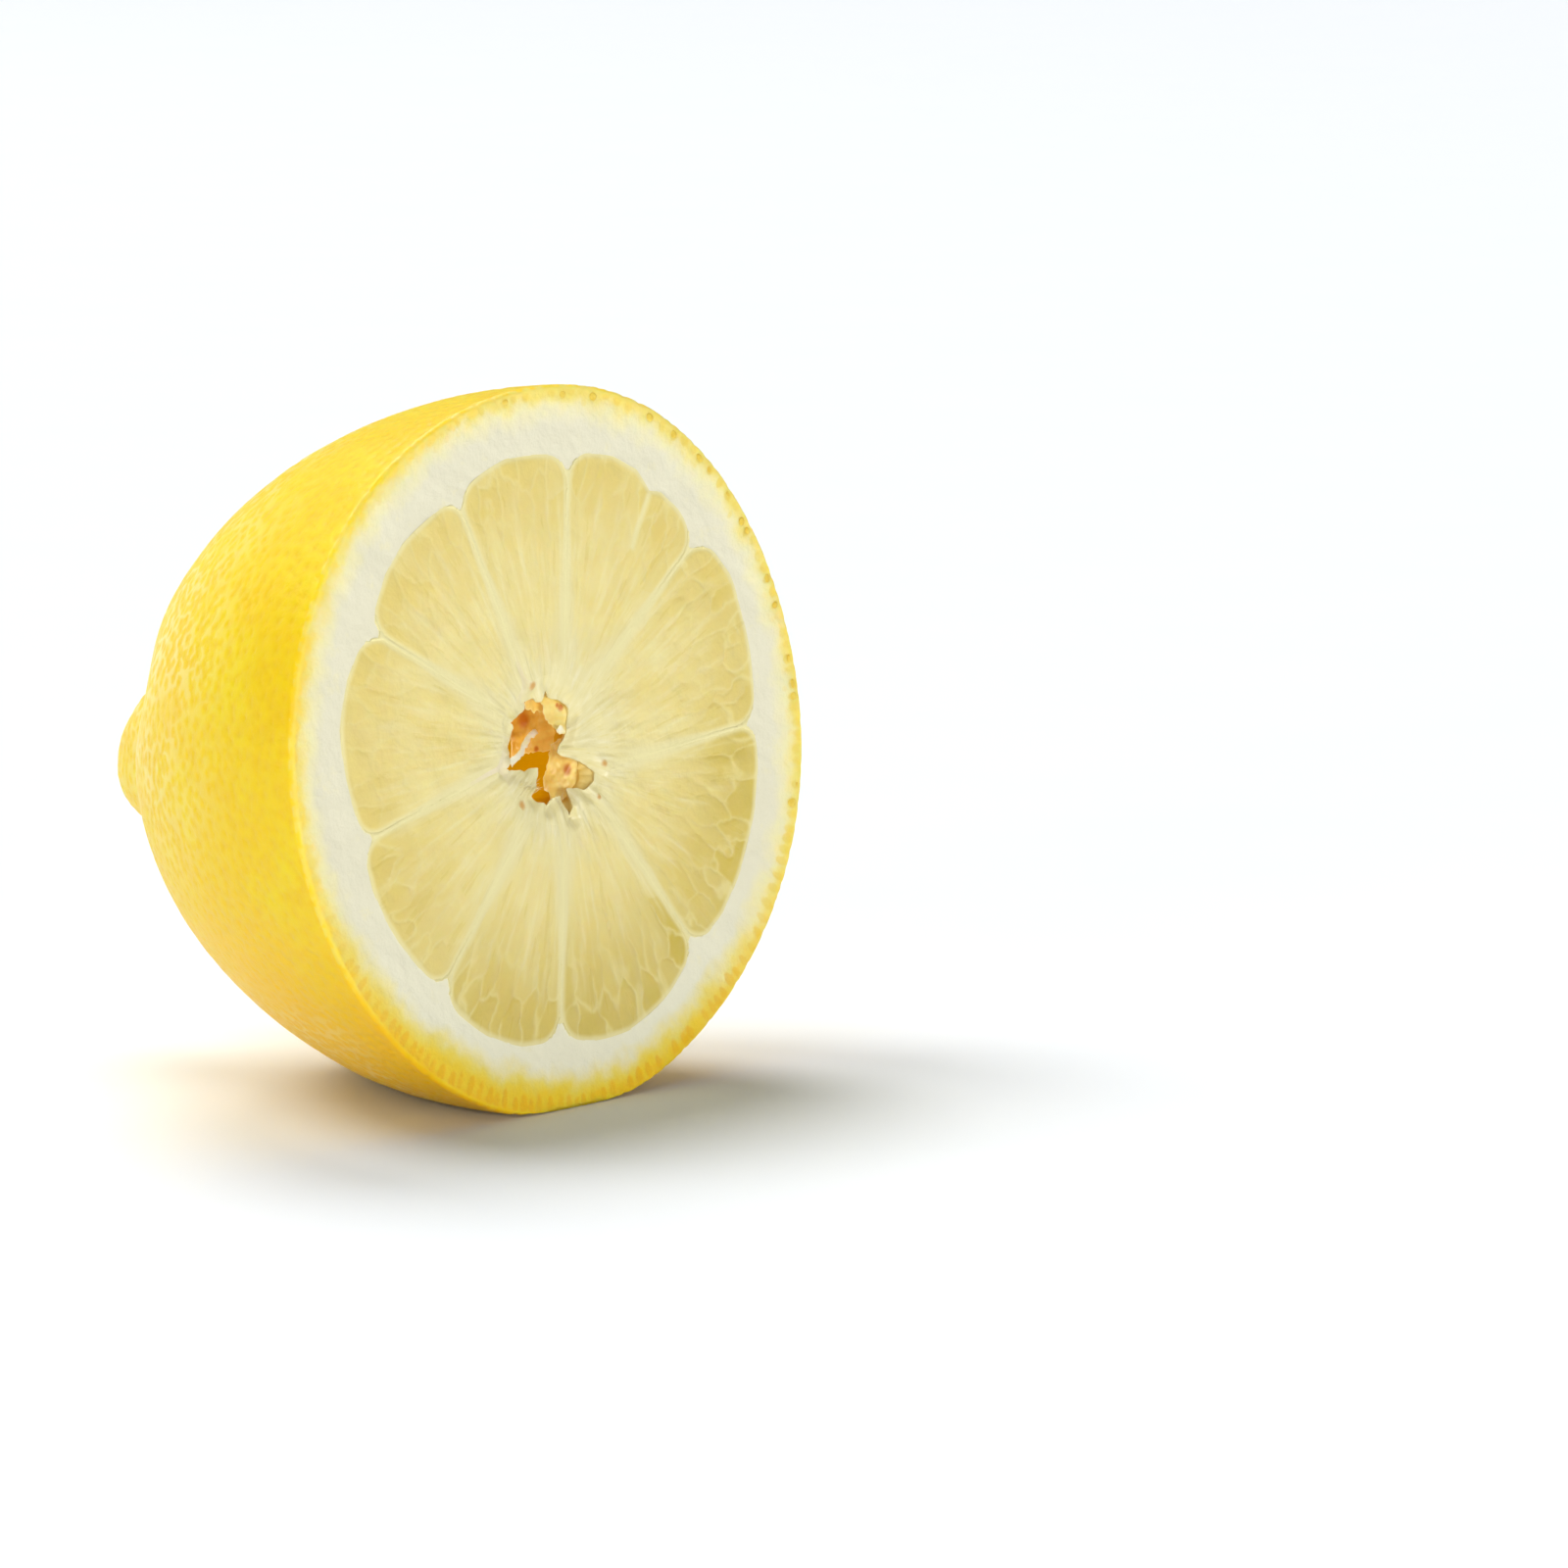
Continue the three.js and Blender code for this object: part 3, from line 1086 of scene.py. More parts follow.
@dataclass
class Membranes:
    """The septa, the pithy middle and the torn hollow in it, as one closed body."""

    form: FruitForm
    face: CutFace
    overlap: float = 0.3
    recess: float = 6.0
    plate: float = 7.2
    hollow_depth: float = 12.6
    hollow_radius: float = 5.3
    hollow_end_radius: float = 4.4
    cup_radius: float = 7.6
    core_reach: float = 9.5
    fine_step: float = 0.17
    coarse_step: float = 0.8
    outer_steps: int = 420
    plate_radius: float = 24.4
    seed: int = 31
    spots: Triples = (
        (5.75, -1.8, 0.38), (4.85, -4.45, 0.3), (-2.1, 5.4, 0.5), (-4.1, -4.1, 0.5))

    def build(self, finish: Material) -> Piece:
        """Makes the piece.

        Args:
            finish: Its material.

        Returns:
            The finished piece.
        """
        rng = np.random.default_rng(self.seed)
        shell = Shell()
        mouth, outer = self.top(shell, rng)
        self.hollow(shell, mouth)
        self.underside(shell, outer)
        return shell.make("membranes", self.form, finish, TISSUE_SHARP_ANGLE)

    def top(self, shell: Shell, rng: Draws) -> tuple[Values, Values]:
        """Lays the septa and the middle, sunk where the pulp sits.

        Args:
            shell: Where they go.
            rng: Where the lattices' small moves come from.

        Returns:
            The ring round the torn mouth and the ring at the outer edge.
        """
        mouth = self.face.mouth_ring()
        outer = self.face.rind_edge(self.outer_steps)
        outer *= (1 + self.overlap / np.hypot(*outer.T))[:, None]
        fine, coarse = (lattice(26, step, rng) for step in (self.fine_step, self.coarse_step))
        into = self.face.to_pulp(fine)
        wanted = (into > -0.7) | (np.hypot(*fine.T) < self.core_reach) & (into > -1.2)
        fine = fine[wanted & within(fine, outer)]
        coarse = coarse[(self.face.to_pulp(coarse) < -0.95) & (np.hypot(*coarse.T) > 7)]
        flat = np.vstack((fine, coarse))
        flat = flat[within(flat, outer) & ~within(flat, mouth)]
        flat = flat[(gap_to_outline(flat, mouth) > 0.09) & (gap_to_outline(flat, outer) > 0.1)]
        middle, lip = (shell.add(on_face(part, self.top_depth(part)), **self.top_notes(part))
                       for part in (flat, mouth))
        border = shell.add(on_face(outer, 0.5), **self.top_notes(outer))
        plane = np.vstack((flat, mouth, outer))
        hole = np.arange(len(flat), len(flat) + len(mouth))
        edge = np.arange(len(flat) + len(mouth), len(plane))
        shell.face(np.concatenate((middle, lip, border))[weave(plane, edge, hole)])
        return lip, border

    def top_depth(self, flat: Points) -> Values:
        """How far behind the cut's plane the top lies; it runs on a little under the pulp."""
        into = self.face.to_pulp(flat)
        around, radius = around_and_out(flat)
        proud = 0.012 - 0.04 * smooth(0.0, 0.14, into) * smooth(9, 14, radius)
        sunk = self.recess * smooth(0.0, -0.41, into + 0.04 + 0.2 * smooth(14, 9, radius))
        outer_dip = 0.3 * smooth(0.12, 0.3, radius - self.face.pulp_radius(around) + 0.35)
        return np.maximum(self.face.tissue_depth(flat) + proud + outer_dip, 0) + sunk

    def top_notes(self, flat: Points) -> dict[str, Values]:
        """Values for the finish: nearness of the core, brown spots and the blush."""
        radius = np.hypot(*flat.T)
        spot = spotted(flat, self.spots, 0.35)
        blush = np.maximum(bell((flat[:, 0] + 7.6) / 2.6, (flat[:, 1] + 0.6) / 1.6),
                           0.7 * bell((flat[:, 0] + 3.8) / 1.5, (flat[:, 1] - 6.2) / 1.6))
        return {"core": smooth(11, 5, radius), "spot": spot, "blush": blush, "depth": 0,
                "turn_x": flat[:, 0] / radius, "turn_z": flat[:, 1] / radius, "turn_v": radius}

    def hollow(self, shell: Shell, mouth: Values) -> None:
        """Lines the torn hollow from the mouth's lip to its closed end."""
        lip = shell.at(mouth)
        flat = lip[:, [0, 2]]
        ahead = np.roll(flat, -1, axis=0) - np.roll(flat, 1, axis=0)
        out = np.column_stack((ahead[:, 1], -ahead[:, 0])) * self.turning(flat)
        out /= np.linalg.norm(out, axis=1)[:, None]
        depths = np.concatenate(((0.05, 0.12, 0.22, 0.35, 0.55, 0.8), np.linspace(
            1.1, self.hollow_depth - 1.4, 46)))
        last = mouth
        for depth in depths:
            share = float(smooth(0.1, 2.2, depth))
            even = self.smoothed(flat, 1 + 44 * share)
            middle = even.mean(axis=0) * (1 - 0.6 * share)
            arm = even - even.mean(axis=0)
            reach = np.hypot(*arm.T)
            wide = self.hollow_radius + (self.hollow_end_radius - self.hollow_radius) * (
                depth / self.hollow_depth)
            grown = reach + (wide - reach) * share
            spun = np.column_stack((arm / reach[:, None], np.full(len(arm), depth / 14)))
            fold = share * (0.07 * Ripple(1.1, 37).at(spun) + 0.03 * Ripple(0.3, 38).at(spun))
            place = middle + arm * (grown / reach * (1 + fold))[:, None]
            place += out * (0.2 * min(depth / 0.5, 1) * (1 - share))
            ring_now = shell.add(on_face(place, lip[:, 1] * (1 - share) + depth), depth=depth,
                                 core=1, turn_x=arm[:, 0] / reach, turn_z=arm[:, 1] / reach,
                                 turn_v=depth + 5)
            shell.bridge(last, ring_now)
            last = ring_now
        wide = shell.at(last)
        centre = wide.mean(axis=0)
        for share, drop in ((0.82, 0.75), (0.55, 1.1), (0.25, 1.35)):
            place = centre + (wide - centre) * share
            place[:, 1] = wide[:, 1].mean() + drop
            ring_now = shell.add(place, depth=self.hollow_depth, core=1,
                                 turn_v=self.hollow_depth + 5)
            shell.bridge(last, ring_now)
            last = ring_now
        shell.cap(last, (centre[0], self.hollow_depth, centre[2]), depth=self.hollow_depth, core=1)

    def turning(self, ring: Points) -> float:
        """1 for a ring that runs anticlockwise, or else -1."""
        x, z = ring.T
        return 1.0 if (x * np.roll(z, -1) - np.roll(x, -1) * z).sum() > 0 else -1.0

    def smoothed(self, ring: Points, width: float) -> Points:
        """A closed ring with its corners smoothed over a number of steps."""
        steps = np.minimum(np.arange(len(ring)), len(ring) - np.arange(len(ring)))
        window = np.exp(-0.5 * (steps / width) ** 2)
        window = np.fft.fft(window / window.sum())
        return np.column_stack([np.fft.ifft(np.fft.fft(ring[:, axis]) * window).real
                                for axis in range(2)])

    def underside(self, shell: Shell, outer: Values) -> None:
        """Closes the body behind the pulp and round the hollow's far side."""
        rim = shell.at(outer)
        around = np.arctan2(rim[:, 2], rim[:, 0])
        last = outer
        for radius, depth in ((self.plate_radius, self.plate), (self.cup_radius + 1, self.plate),
                              (self.cup_radius, self.plate + 1),
                              (self.cup_radius - 1.4, self.hollow_depth + 1.6)):
            ring = shell.add(on_face(unit_ways(around) * radius, depth), depth=9)
            shell.bridge(last, ring)
            last = ring
        shell.cap(last, (0.0, self.hollow_depth + 2.2, 0.0), depth=9)


@dataclass(frozen=True)
class VesicleRow:
    """One row of juice sacs: how far from the rind, and half their width and length."""

    inset: float
    half_width: float
    half_length: float


@dataclass
class Segment:
    """One segment's pulp: a closed body whose cut top shows its juice sacs."""

    form: FruitForm
    face: CutFace
    number: int
    clearness: float
    # Share of painted olive shade at the outer end.
    painted_shade: float
    clefts: tuple[tuple[Pair, Pair], ...] = ()
    step: float = 0.125
    depth: float = 5.7
    heart: float = 16.5
    longest: float = 16.0
    outline_steps: int = 720
    halvings: int = 26
    edge_gap: float = -0.06
    rows: tuple[VesicleRow, ...] = (
        VesicleRow(1.5, 1.25, 1.7), VesicleRow(4.6, 1.0, 3.0), VesicleRow(8.8, 0.8, 4.2),
        VesicleRow(13.5, 0.62, 4.6), VesicleRow(17.5, 0.5, 4.2))

    def build(self, finish: Material) -> Piece:
        """Makes the segment's piece.

        Args:
            finish: The pulp's material.

        Returns:
            The finished piece.
        """
        rng = np.random.default_rng(100 + self.number)
        ring, centre = self.outline()
        flat = lattice(27, self.step, rng)
        flat = flat[self.face.into_segment(self.number, flat) < -self.edge_gap - self.step * 0.7]
        shell = Shell()
        sacs = self.sacs(rng)
        top, border = (shell.add(on_face(part, self.top_depth(part, sacs)),
                                 **self.notes(part, sacs)) for part in (flat, ring))
        plane = np.vstack((flat, ring))
        shell.face(np.concatenate((top, border))[weave(plane, np.arange(len(flat), len(plane)))])
        last = border
        for depth in (0.6, self.depth):
            below = shell.add(on_face(ring, depth), **self.notes(ring, sacs))
            shell.bridge(last, below)
            last = below
        shell.cap(last, (centre[0], self.depth, centre[1]))
        return shell.make(f"segment_{self.number + 1}", self.form, finish, TISSUE_SHARP_ANGLE)

    def outline(self) -> tuple[Points, Points]:
        """The segment's outline and a point well inside it."""
        before, after = self.face.walls(self.number)
        middle = before.way() + after.way()
        middle /= np.linalg.norm(middle)
        centre = middle * self.heart
        ways = unit_ways(np.linspace(0, TURN, self.outline_steps, endpoint=False))
        near, far = np.zeros(len(ways)), np.full(len(ways), self.longest)
        for _ in range(self.halvings):
            half = 0.5 * (near + far)
            inside = self.face.into_segment(
                self.number, centre + ways * half[:, None]) < -self.edge_gap
            near, far = np.where(inside, half, near), np.where(inside, far, half)
        ring = centre + ways * near[:, None]
        length = np.linalg.norm(np.roll(ring, -1, axis=0) - ring, axis=1).sum()
        return even_ring(ring, int(length / self.step)), centre

    def flow(self, flat: Points) -> tuple[Values, Values]:
        """Where a point lies across the segment, from 0 to 1, and its distance to the rind."""
        before, after = self.face.walls(self.number)
        left, right = np.maximum(before.aside(flat), 1e-3), np.maximum(-after.aside(flat), 1e-3)
        around, radius = around_and_out(flat)
        return left / (left + right), self.face.pulp_radius(around) - radius

    def width(self, inset: Values) -> Values:
        """The segment's width at a distance from the rind."""
        before, after = self.face.walls(self.number)
        angle = math.acos(float(np.clip(before.way() @ after.way(), -1, 1)))
        start = np.linalg.norm(np.subtract(before.core_end, after.core_end))
        return start + (18.5 - np.minimum(inset, 18.5)) * angle

    def sacs(self, rng: Draws) -> Points:
        """Seeds of the juice sacs: across, inset, half-width, half-length, slant, tone."""
        seeds = []
        for order, row in enumerate(self.rows):
            width = float(self.width(np.array([row.inset]))[0])
            count = max(2, round(width / (2 * row.half_width)))
            for place in range(count):
                across = (place + 0.5 + rng.uniform(-0.3, 0.3)) / count
                inset = row.inset + rng.uniform(-0.45, 0.45) * row.half_length
                if order == 0 and rng.random() < 0.3:
                    inset += 0.8
                seeds.append((across, inset, row.half_width * rng.uniform(0.75, 1.3),
                              row.half_length * rng.uniform(0.8, 1.25),
                              rng.uniform(-0.16, 0.16), rng.uniform(-1, 1)))
        return np.array(seeds)

    def cells(self, flat: Points, sacs: Points) -> tuple[Values, Values, Values]:
        """Which sac each point is in.

        Args:
            flat: Points on the cut face.
            sacs: The sacs' seeds.

        Returns:
            How near the sac's middle the point is, how near a wall, and the sac's tone.
        """
        across, inset = self.flow(flat)
        width = self.width(inset)
        wander = (0.4 * Ripple(3.2, 40 + self.number).at(flat)
                  + 0.1 * Ripple(0.9, 50 + self.number).at(flat))
        best = np.full((2, len(flat)), np.inf)
        tone = np.zeros(len(flat))
        near_width = np.ones(len(flat))
        for seed_across, seed_inset, half_width, half_length, slant, seed_tone in sacs:
            down = inset - seed_inset + wander
            aside = (across - seed_across) * width + slant * down + 0.5 * wander
            gap = np.hypot(aside / half_width, down / half_length)
            first = gap < best[0]
            best[1] = np.where(first, best[0], np.minimum(best[1], gap))
            tone = np.where(first, seed_tone, tone)
            near_width = np.where(first, half_width, near_width)
            best[0] = np.where(first, gap, best[0])
        to_wall = (best[1] - best[0]) * near_width * 0.5
        return 1 - np.minimum(best[0], 1) ** 2, bell(to_wall / 0.11), tone

    def top_depth(self, flat: Points, sacs: Points) -> Values:
        """How far behind the cut's plane the pulp's top lies."""
        middle, wall, _ = self.cells(flat, sacs)
        _, inset = self.flow(flat)
        inside = self.inside(flat)
        outward = smooth(14, 2, inset)
        edge = 0.07 * smooth(0.5, 0.0, inside) * smooth(9, 3, inset)
        sac = (0.09 * (1 - middle) + 0.05 * wall) * (0.3 + 0.7 * outward) * self.clearness
        return np.maximum(self.face.tissue_depth(flat) + edge + sac * smooth(0, 0.7, inside), 0)

    def inside(self, flat: Points) -> Values:
        """Distance to the segment's outline or to a cleft in it."""
        gap = -self.face.into_segment(self.number, flat)
        for one, other in self.clefts:
            along = np.subtract(other, one)
            share = np.clip((flat - one) @ along / (along @ along), 0, 1)
            gap = np.minimum(gap, np.hypot(*(flat - one - share[:, None] * along).T))
        return gap

    def notes(self, flat: Points, sacs: Points) -> dict[str, Values]:
        """Values for the pulp's finish."""
        _, wall, tone = self.cells(flat, sacs)
        across, inset = self.flow(flat)
        radius = np.hypot(*flat.T)
        outward = smooth(11, 1.0, inset)
        wall = wall * smooth(-0.9, 0.5, Ripple(4.0, 90 + self.number).at(flat) + outward - 0.4)
        return {
            "wall": wall * self.clearness * (0.12 + 0.88 * outward),
            "tone": tone, "edge": self.inside(flat), "inset": inset, "core": smooth(12, 5, radius),
            "flow_u": across * self.width(np.full(len(flat), 4.0)) + 20 * self.number,
            "flow_v": inset, "ripe": self.painted_shade,
            "turn_x": flat[:, 0] / radius, "turn_z": flat[:, 1] / radius, "turn_v": radius,
        }


@dataclass(frozen=True)
class Flap:
    """A thin torn sheet of the core; its outline is rows of (across, up, depth).

    A corner stands behind the place on the mouth that its row names, moved by shift for each
    millimetre of depth. The tone goes from white at 0 to rusty brown at 1, and fades in one
    direction. Between the two pales the sheet takes on the colour of the tissue over it.
    """

    name: str
    outline: Triples
    thickness: float
    tone: float
    crumple: float
    fade: float = 0.0
    fade_way: Pair = (1.0, 0.0)
    spots: Triples = ()
    # Painted glow: emission that lifts the sheet out of the hollow's shade.
    lit: float = 0.1
    pales: Pair = (9.0, 10.0)
    step: float = 0.13
    shift: Pair = (1.094, -0.159)

    def behind(self, flat: Points, depth: Values) -> Points:
        """Turned points at a depth that line up with (across, up) points on the mouth."""
        return on_face(flat + depth[:, None] * np.array(self.shift), depth)

    def build(self, form: FruitForm, finish: Material) -> Piece:
        """Makes the flap as a closed slab.

        Args:
            form: The fruit's outer form.
            finish: The flap's material.

        Returns:
            The finished piece.
        """
        corners = np.array(self.outline)
        length = np.linalg.norm(np.roll(corners, -1, axis=0) - corners, axis=1).sum()
        ring = even_ring(corners, max(24, int(length / self.step)))
        seed = sum(map(ord, self.name))
        ring[:, :2] += np.column_stack([0.07 * Ripple(0.6, seed + turn).at(ring[:, :2])
                                        for turn in range(2)])
        middle = ring[:, :2].mean(axis=0)
        reach = np.abs(ring[:, :2] - middle).max() * 1.5
        inner = lattice(reach, self.step, np.random.default_rng(seed)) + middle
        inner = inner[within(inner, ring[:, :2])]
        inner = inner[gap_to_outline(inner, ring[:, :2]) > self.step * 0.6]
        flat = np.vstack((inner, ring[:, :2]))
        marks = ring[None, ::2]
        gaps = np.hypot(flat[:, None, 0] - marks[..., 0], flat[:, None, 1] - marks[..., 1])
        weights = 1 / np.maximum(gaps, 0.03) ** 2.5
        depth = (weights * marks[..., 2]).sum(axis=1) / weights.sum(axis=1)
        edge = gap_to_outline(flat, ring[:, :2])
        depth += self.crumple * (Ripple(2.2, seed + 2).at(flat)
                                 + 0.16 * Ripple(0.6, seed + 3).at(flat)) * smooth(0, 0.5, edge)
        thick = self.thickness * (0.3 + 0.7 * smooth(0, 0.6, edge))
        share = smooth(*self.pales, flat[:, 0])
        shell = Shell()
        tone = self.tone + self.fade * (flat @ np.array(self.fade_way))
        spot = spotted(flat, self.spots, 0.3)
        notes = {"edge": edge + 0.2 * share, "tone": tone, "spot": spot, "streak": flat[:, 1],
                 "along": flat[:, 0], "lit": self.lit, "merge": 0.75 * share}
        front = shell.add(self.behind(flat, depth), **notes)
        back = shell.add(self.behind(flat, depth + thick), **notes)
        rim = np.arange(len(inner), len(flat))
        triangles = weave(flat, rim)
        shell.face(front[triangles])
        shell.face(back[triangles])
        shell.bridge(front[rim], back[rim])
        return shell.make(self.name, form, finish)


FLAPS = (
    Flap("core_ledge", (
        (-5.6, 2.6, 5.4), (-5.2, 4.2, 5.2), (-3.6, 4.9, 5.0), (-1.6, 5.3, 4.6), (0.4, 5.0, 4.2),
        (2.2, 3.6, 3.6), (2.4, 1.2, 3.4), (0.6, 0.75, 3.9), (-0.7, 0.1, 4.4), (-1.6, 0.02, 4.6),
        (-2.4, 0.1, 4.8), (-3.2, 0.12, 5.0), (-4.1, 0.15, 5.2), (-5.6, 0.0, 5.5)),
        0.5, 0.42, 0.2, -0.07, (1.0, -0.9), ((-3.9, 2.9, 1.0), (-2.6, 0.35, 0.4)), 0.45),
    Flap("core_tongue", (
        (-0.75, 0.55, 3.0), (0.2, 0.8, 2.6), (1.1, 0.9, 2.2), (2.0, 0.5, 1.7), (2.9, -0.3, 1.35),
        (3.9, -1.1, 1.15), (5.2, -1.5, 1.1), (5.7, -2.7, 1.1), (4.8, -4.1, 1.1), (3.2, -4.9, 1.2),
        (2.0, -5.8, 1.5), (0.8, -5.6, 1.7), (-0.4, -5.2, 2.0), (-1.1, -4.4, 2.3),
        (-1.2, -3.5, 2.4), (-1.85, -3.1, 2.6), (-1.9, -2.2, 2.7), (-1.5, -1.5, 2.9),
        (-1.15, -0.7, 3.0), (-1.05, 0.0, 3.0)),
        0.4, 0.45, 0.12, -0.05, (1.0, 0.0), ((1.05, -1.75, 0.7),), 0.2, (2.2, 4.6)),
    Flap("core_curl", (
        (-0.45, 5.3, 1.5), (0.4, 5.2, 1.5), (1.3, 4.9, 1.4), (2.4, 4.5, 1.3), (3.3, 3.6, 1.25),
        (3.5, 2.7, 1.2), (3.3, 1.7, 1.2), (2.5, 1.2, 1.2), (1.5, 1.15, 1.1), (0.8, 1.2, 0.9),
        (0.15, 1.3, 0.8), (0.05, 1.75, 0.9), (-0.5, 2.0, 1.1), (-1.05, 2.5, 1.2),
        (-1.3, 3.1, 1.1), (-1.25, 3.6, 1.0), (-1.7, 4.2, 1.1), (-1.2, 4.9, 1.4)),
        0.16, 0.33, 0.1, -0.05, (1.0, -0.1), ((0.75, 3.4, 0.5), (0.35, 3.6, 0.3)), 0.12,
        (0.9, 2.4)),
    Flap("core_shred", (
        (-3.6, 4.1, 1.5), (-3.3, 3.65, 1.6), (-2.8, 3.6, 1.6), (-2.5, 3.2, 1.7),
        (-2.1, 3.45, 1.6), (-1.8, 3.2, 1.6), (-1.4, 3.25, 1.6), (-1.0, 2.7, 1.7),
        (-0.6, 3.0, 1.6), (-0.6, 4.2, 1.5), (-1.2, 5.2, 1.3), (-2.6, 5.0, 1.3)),
        0.2, 0.5, 0.12, -0.03, (1.0, 0.0), (), 0.2),
    Flap("core_strand", (
        (-2.45, 2.0, 3.5), (-2.2, 1.65, 3.5), (-2.9, 1.25, 3.1), (-3.35, 0.75, 2.5),
        (-3.75, 0.3, 1.9), (-4.3, -0.2, 1.2), (-5.3, -0.8, 0.45), (-5.8, -0.3, 0.4),
        (-5.0, 0.1, 0.8), (-4.35, 0.5, 1.3), (-3.95, 1.0, 1.9), (-3.6, 1.5, 2.6),
        (-3.1, 1.85, 3.2), (-2.8, 1.98, 3.4)),
        0.35, 0.02, 0.06),
    Flap("core_crumb", (
        (0.1, 1.3, 0.4), (0.15, 1.6, 0.4), (0.55, 1.95, 0.4), (1.0, 1.7, 0.35),
        (1.25, 1.4, 0.3), (0.75, 1.22, 0.3)),
        0.4, 0.05, 0.05),
)


@dataclass
class OilGlands:
    """The oil glands that the knife opened along the rim, laid out by a seeded draw."""

    form: FruitForm
    pitch: float = 1.25
    inset: float = 0.75
    half_size: float = 0.56
    thickness: float = 0.05
    sunk: float = 0.08
    lowest: float = -8.0
    seed: int = 7

    def layout(self) -> Points:
        """Each gland as across, up, half-length, half-width and strength."""
        rng = np.random.default_rng(self.seed)
        rows = []
        for row, (inset, pitch, size) in enumerate((
                (self.inset, self.pitch, self.half_size),
                (self.inset + 0.95, self.pitch * 1.9, self.half_size * 0.72))):
            around = rng.uniform(0, 0.02)
            while around < TURN - 0.03:
                low = 0.5 - 0.5 * math.sin(around)
                shown = 1 - 0.75 * math.exp(-((around - 2.75) / 0.85) ** 4)
                long = size * rng.uniform(0.85, 1.35) * (1 + 0.7 * low * (row == 0))
                radius = self.form.cut_radius - inset - rng.uniform(-0.15, 0.25) - 0.25 * low
                strength = rng.uniform(0.5, 1.0) if row == 0 else rng.uniform(0.2, 0.55)
                strength *= shown * (1 - 0.6 * low * row)
                if rng.random() > (0.12 if row == 0 else 0.5):
                    rows.append((radius * math.cos(around), radius * math.sin(around), long,
                                 size * rng.uniform(0.75, 1.1) * (1 - 0.15 * low), strength))
                around += pitch * rng.uniform(0.75, 1.4) * (1 - 0.15 * low) / self.form.cut_radius
        return np.array(rows)

    def build(self, layout: Points, finish: Material) -> Piece:
        """Makes one lens of oil in each gland.

        Args:
            layout: The glands, as layout() gives them.
            finish: The lenses' material.

        Returns:
            The finished piece.
        """
        inner = np.hypot(*layout[:, :2].T) < self.form.cut_radius - 0.85
        strong = layout[(layout[:, 4] > 0.62) & (layout[:, 1] > self.lowest) & inner]
        room = self.form.cut_radius - 0.6 - np.hypot(*strong[:, :2].T)
        sizes = np.column_stack((np.minimum(strong[:, 2] * 0.8, room / 1.1),
                                 np.full(len(strong), self.thickness), strong[:, 3] * 0.8))
        notes = {"half": sizes, "turn": -np.arctan2(strong[:, 1], strong[:, 0])}
        roots = on_face(strong[:, :2], self.sunk)
        return grown("oil_glands", roots, notes, self.tree(finish), self.form)

    def tree(self, finish: Material) -> GeometryTree:
        """A tree that sets a flattened ball on each point.

        Args:
            finish: The lenses' material.

        Returns:
            The tree, ready to apply.
        """
        tree = GeometryTree("gland_lenses")
        size = tree.size("Size", 1.0)
        seed = tree.size("Seed", self.seed)
        ball = tree.node("MeshIcoSphere", Radius=1.0, Subdivisions=2)
        turn = tree.node("ShaderNodeCombineXYZ", Y=tree.note("turn"))
        wobble = tree.node("FunctionNodeRandomValue", {"data_type": "FLOAT"}, Seed=seed)
        wobble.inputs[2].default_value, wobble.inputs[3].default_value = 0.85, 1.1
        scale = tree.vector("SCALE", tree.note("half", "FLOAT_VECTOR"),
                            tree.times(size, wobble.outputs[1]))
        laid = tree.node("InstanceOnPoints", Points=tree.entry.outputs[0],
                         Instance=ball.outputs[0], Scale=scale)
        spin = tree.node("FunctionNodeEulerToRotation", Euler=turn.outputs[0])
        tree.feed(laid.inputs["Rotation"], spin.outputs[0])
        tree.finish(laid.outputs[0], finish)
        return tree


def grown(name: str, roots: Points, notes: dict[str, Values], tree: GeometryTree,
          form: FruitForm) -> Piece:
    """Runs a tree on bare points, and takes what grows on them to the frame.

    Args:
        name: The new object's name.
        roots: Turned points.
        notes: Values by name, one a point.
        tree: What grows on them.
        form: The fruit's outer form.

    Returns:
        The new object.
    """
    mesh = bpy.data.meshes.new(name)
    mesh.from_pydata(roots.tolist(), [], [])
    for key, values in notes.items():
        carry(mesh, key, values)
    piece = tree.apply(stand(name, mesh))
    mesh = piece.data
    places = np.empty(len(mesh.vertices) * 3)
    mesh.vertices.foreach_get("co", places)
    mesh.vertices.foreach_set("co", form.place(places.reshape(-1, 3)).ravel())
    loose = face_outwards(mesh)
    mesh.update()
    log.info("%s: %d faces, %d open sides", name, len(mesh.polygons), loose)
    return piece


@dataclass(frozen=True)
class FibreTuft:
    """Some loose fibres: where they are rooted, which way they lie, how many, how long."""

    root: Pair
    way: Pair
    spread: float
    count: int
    length: float


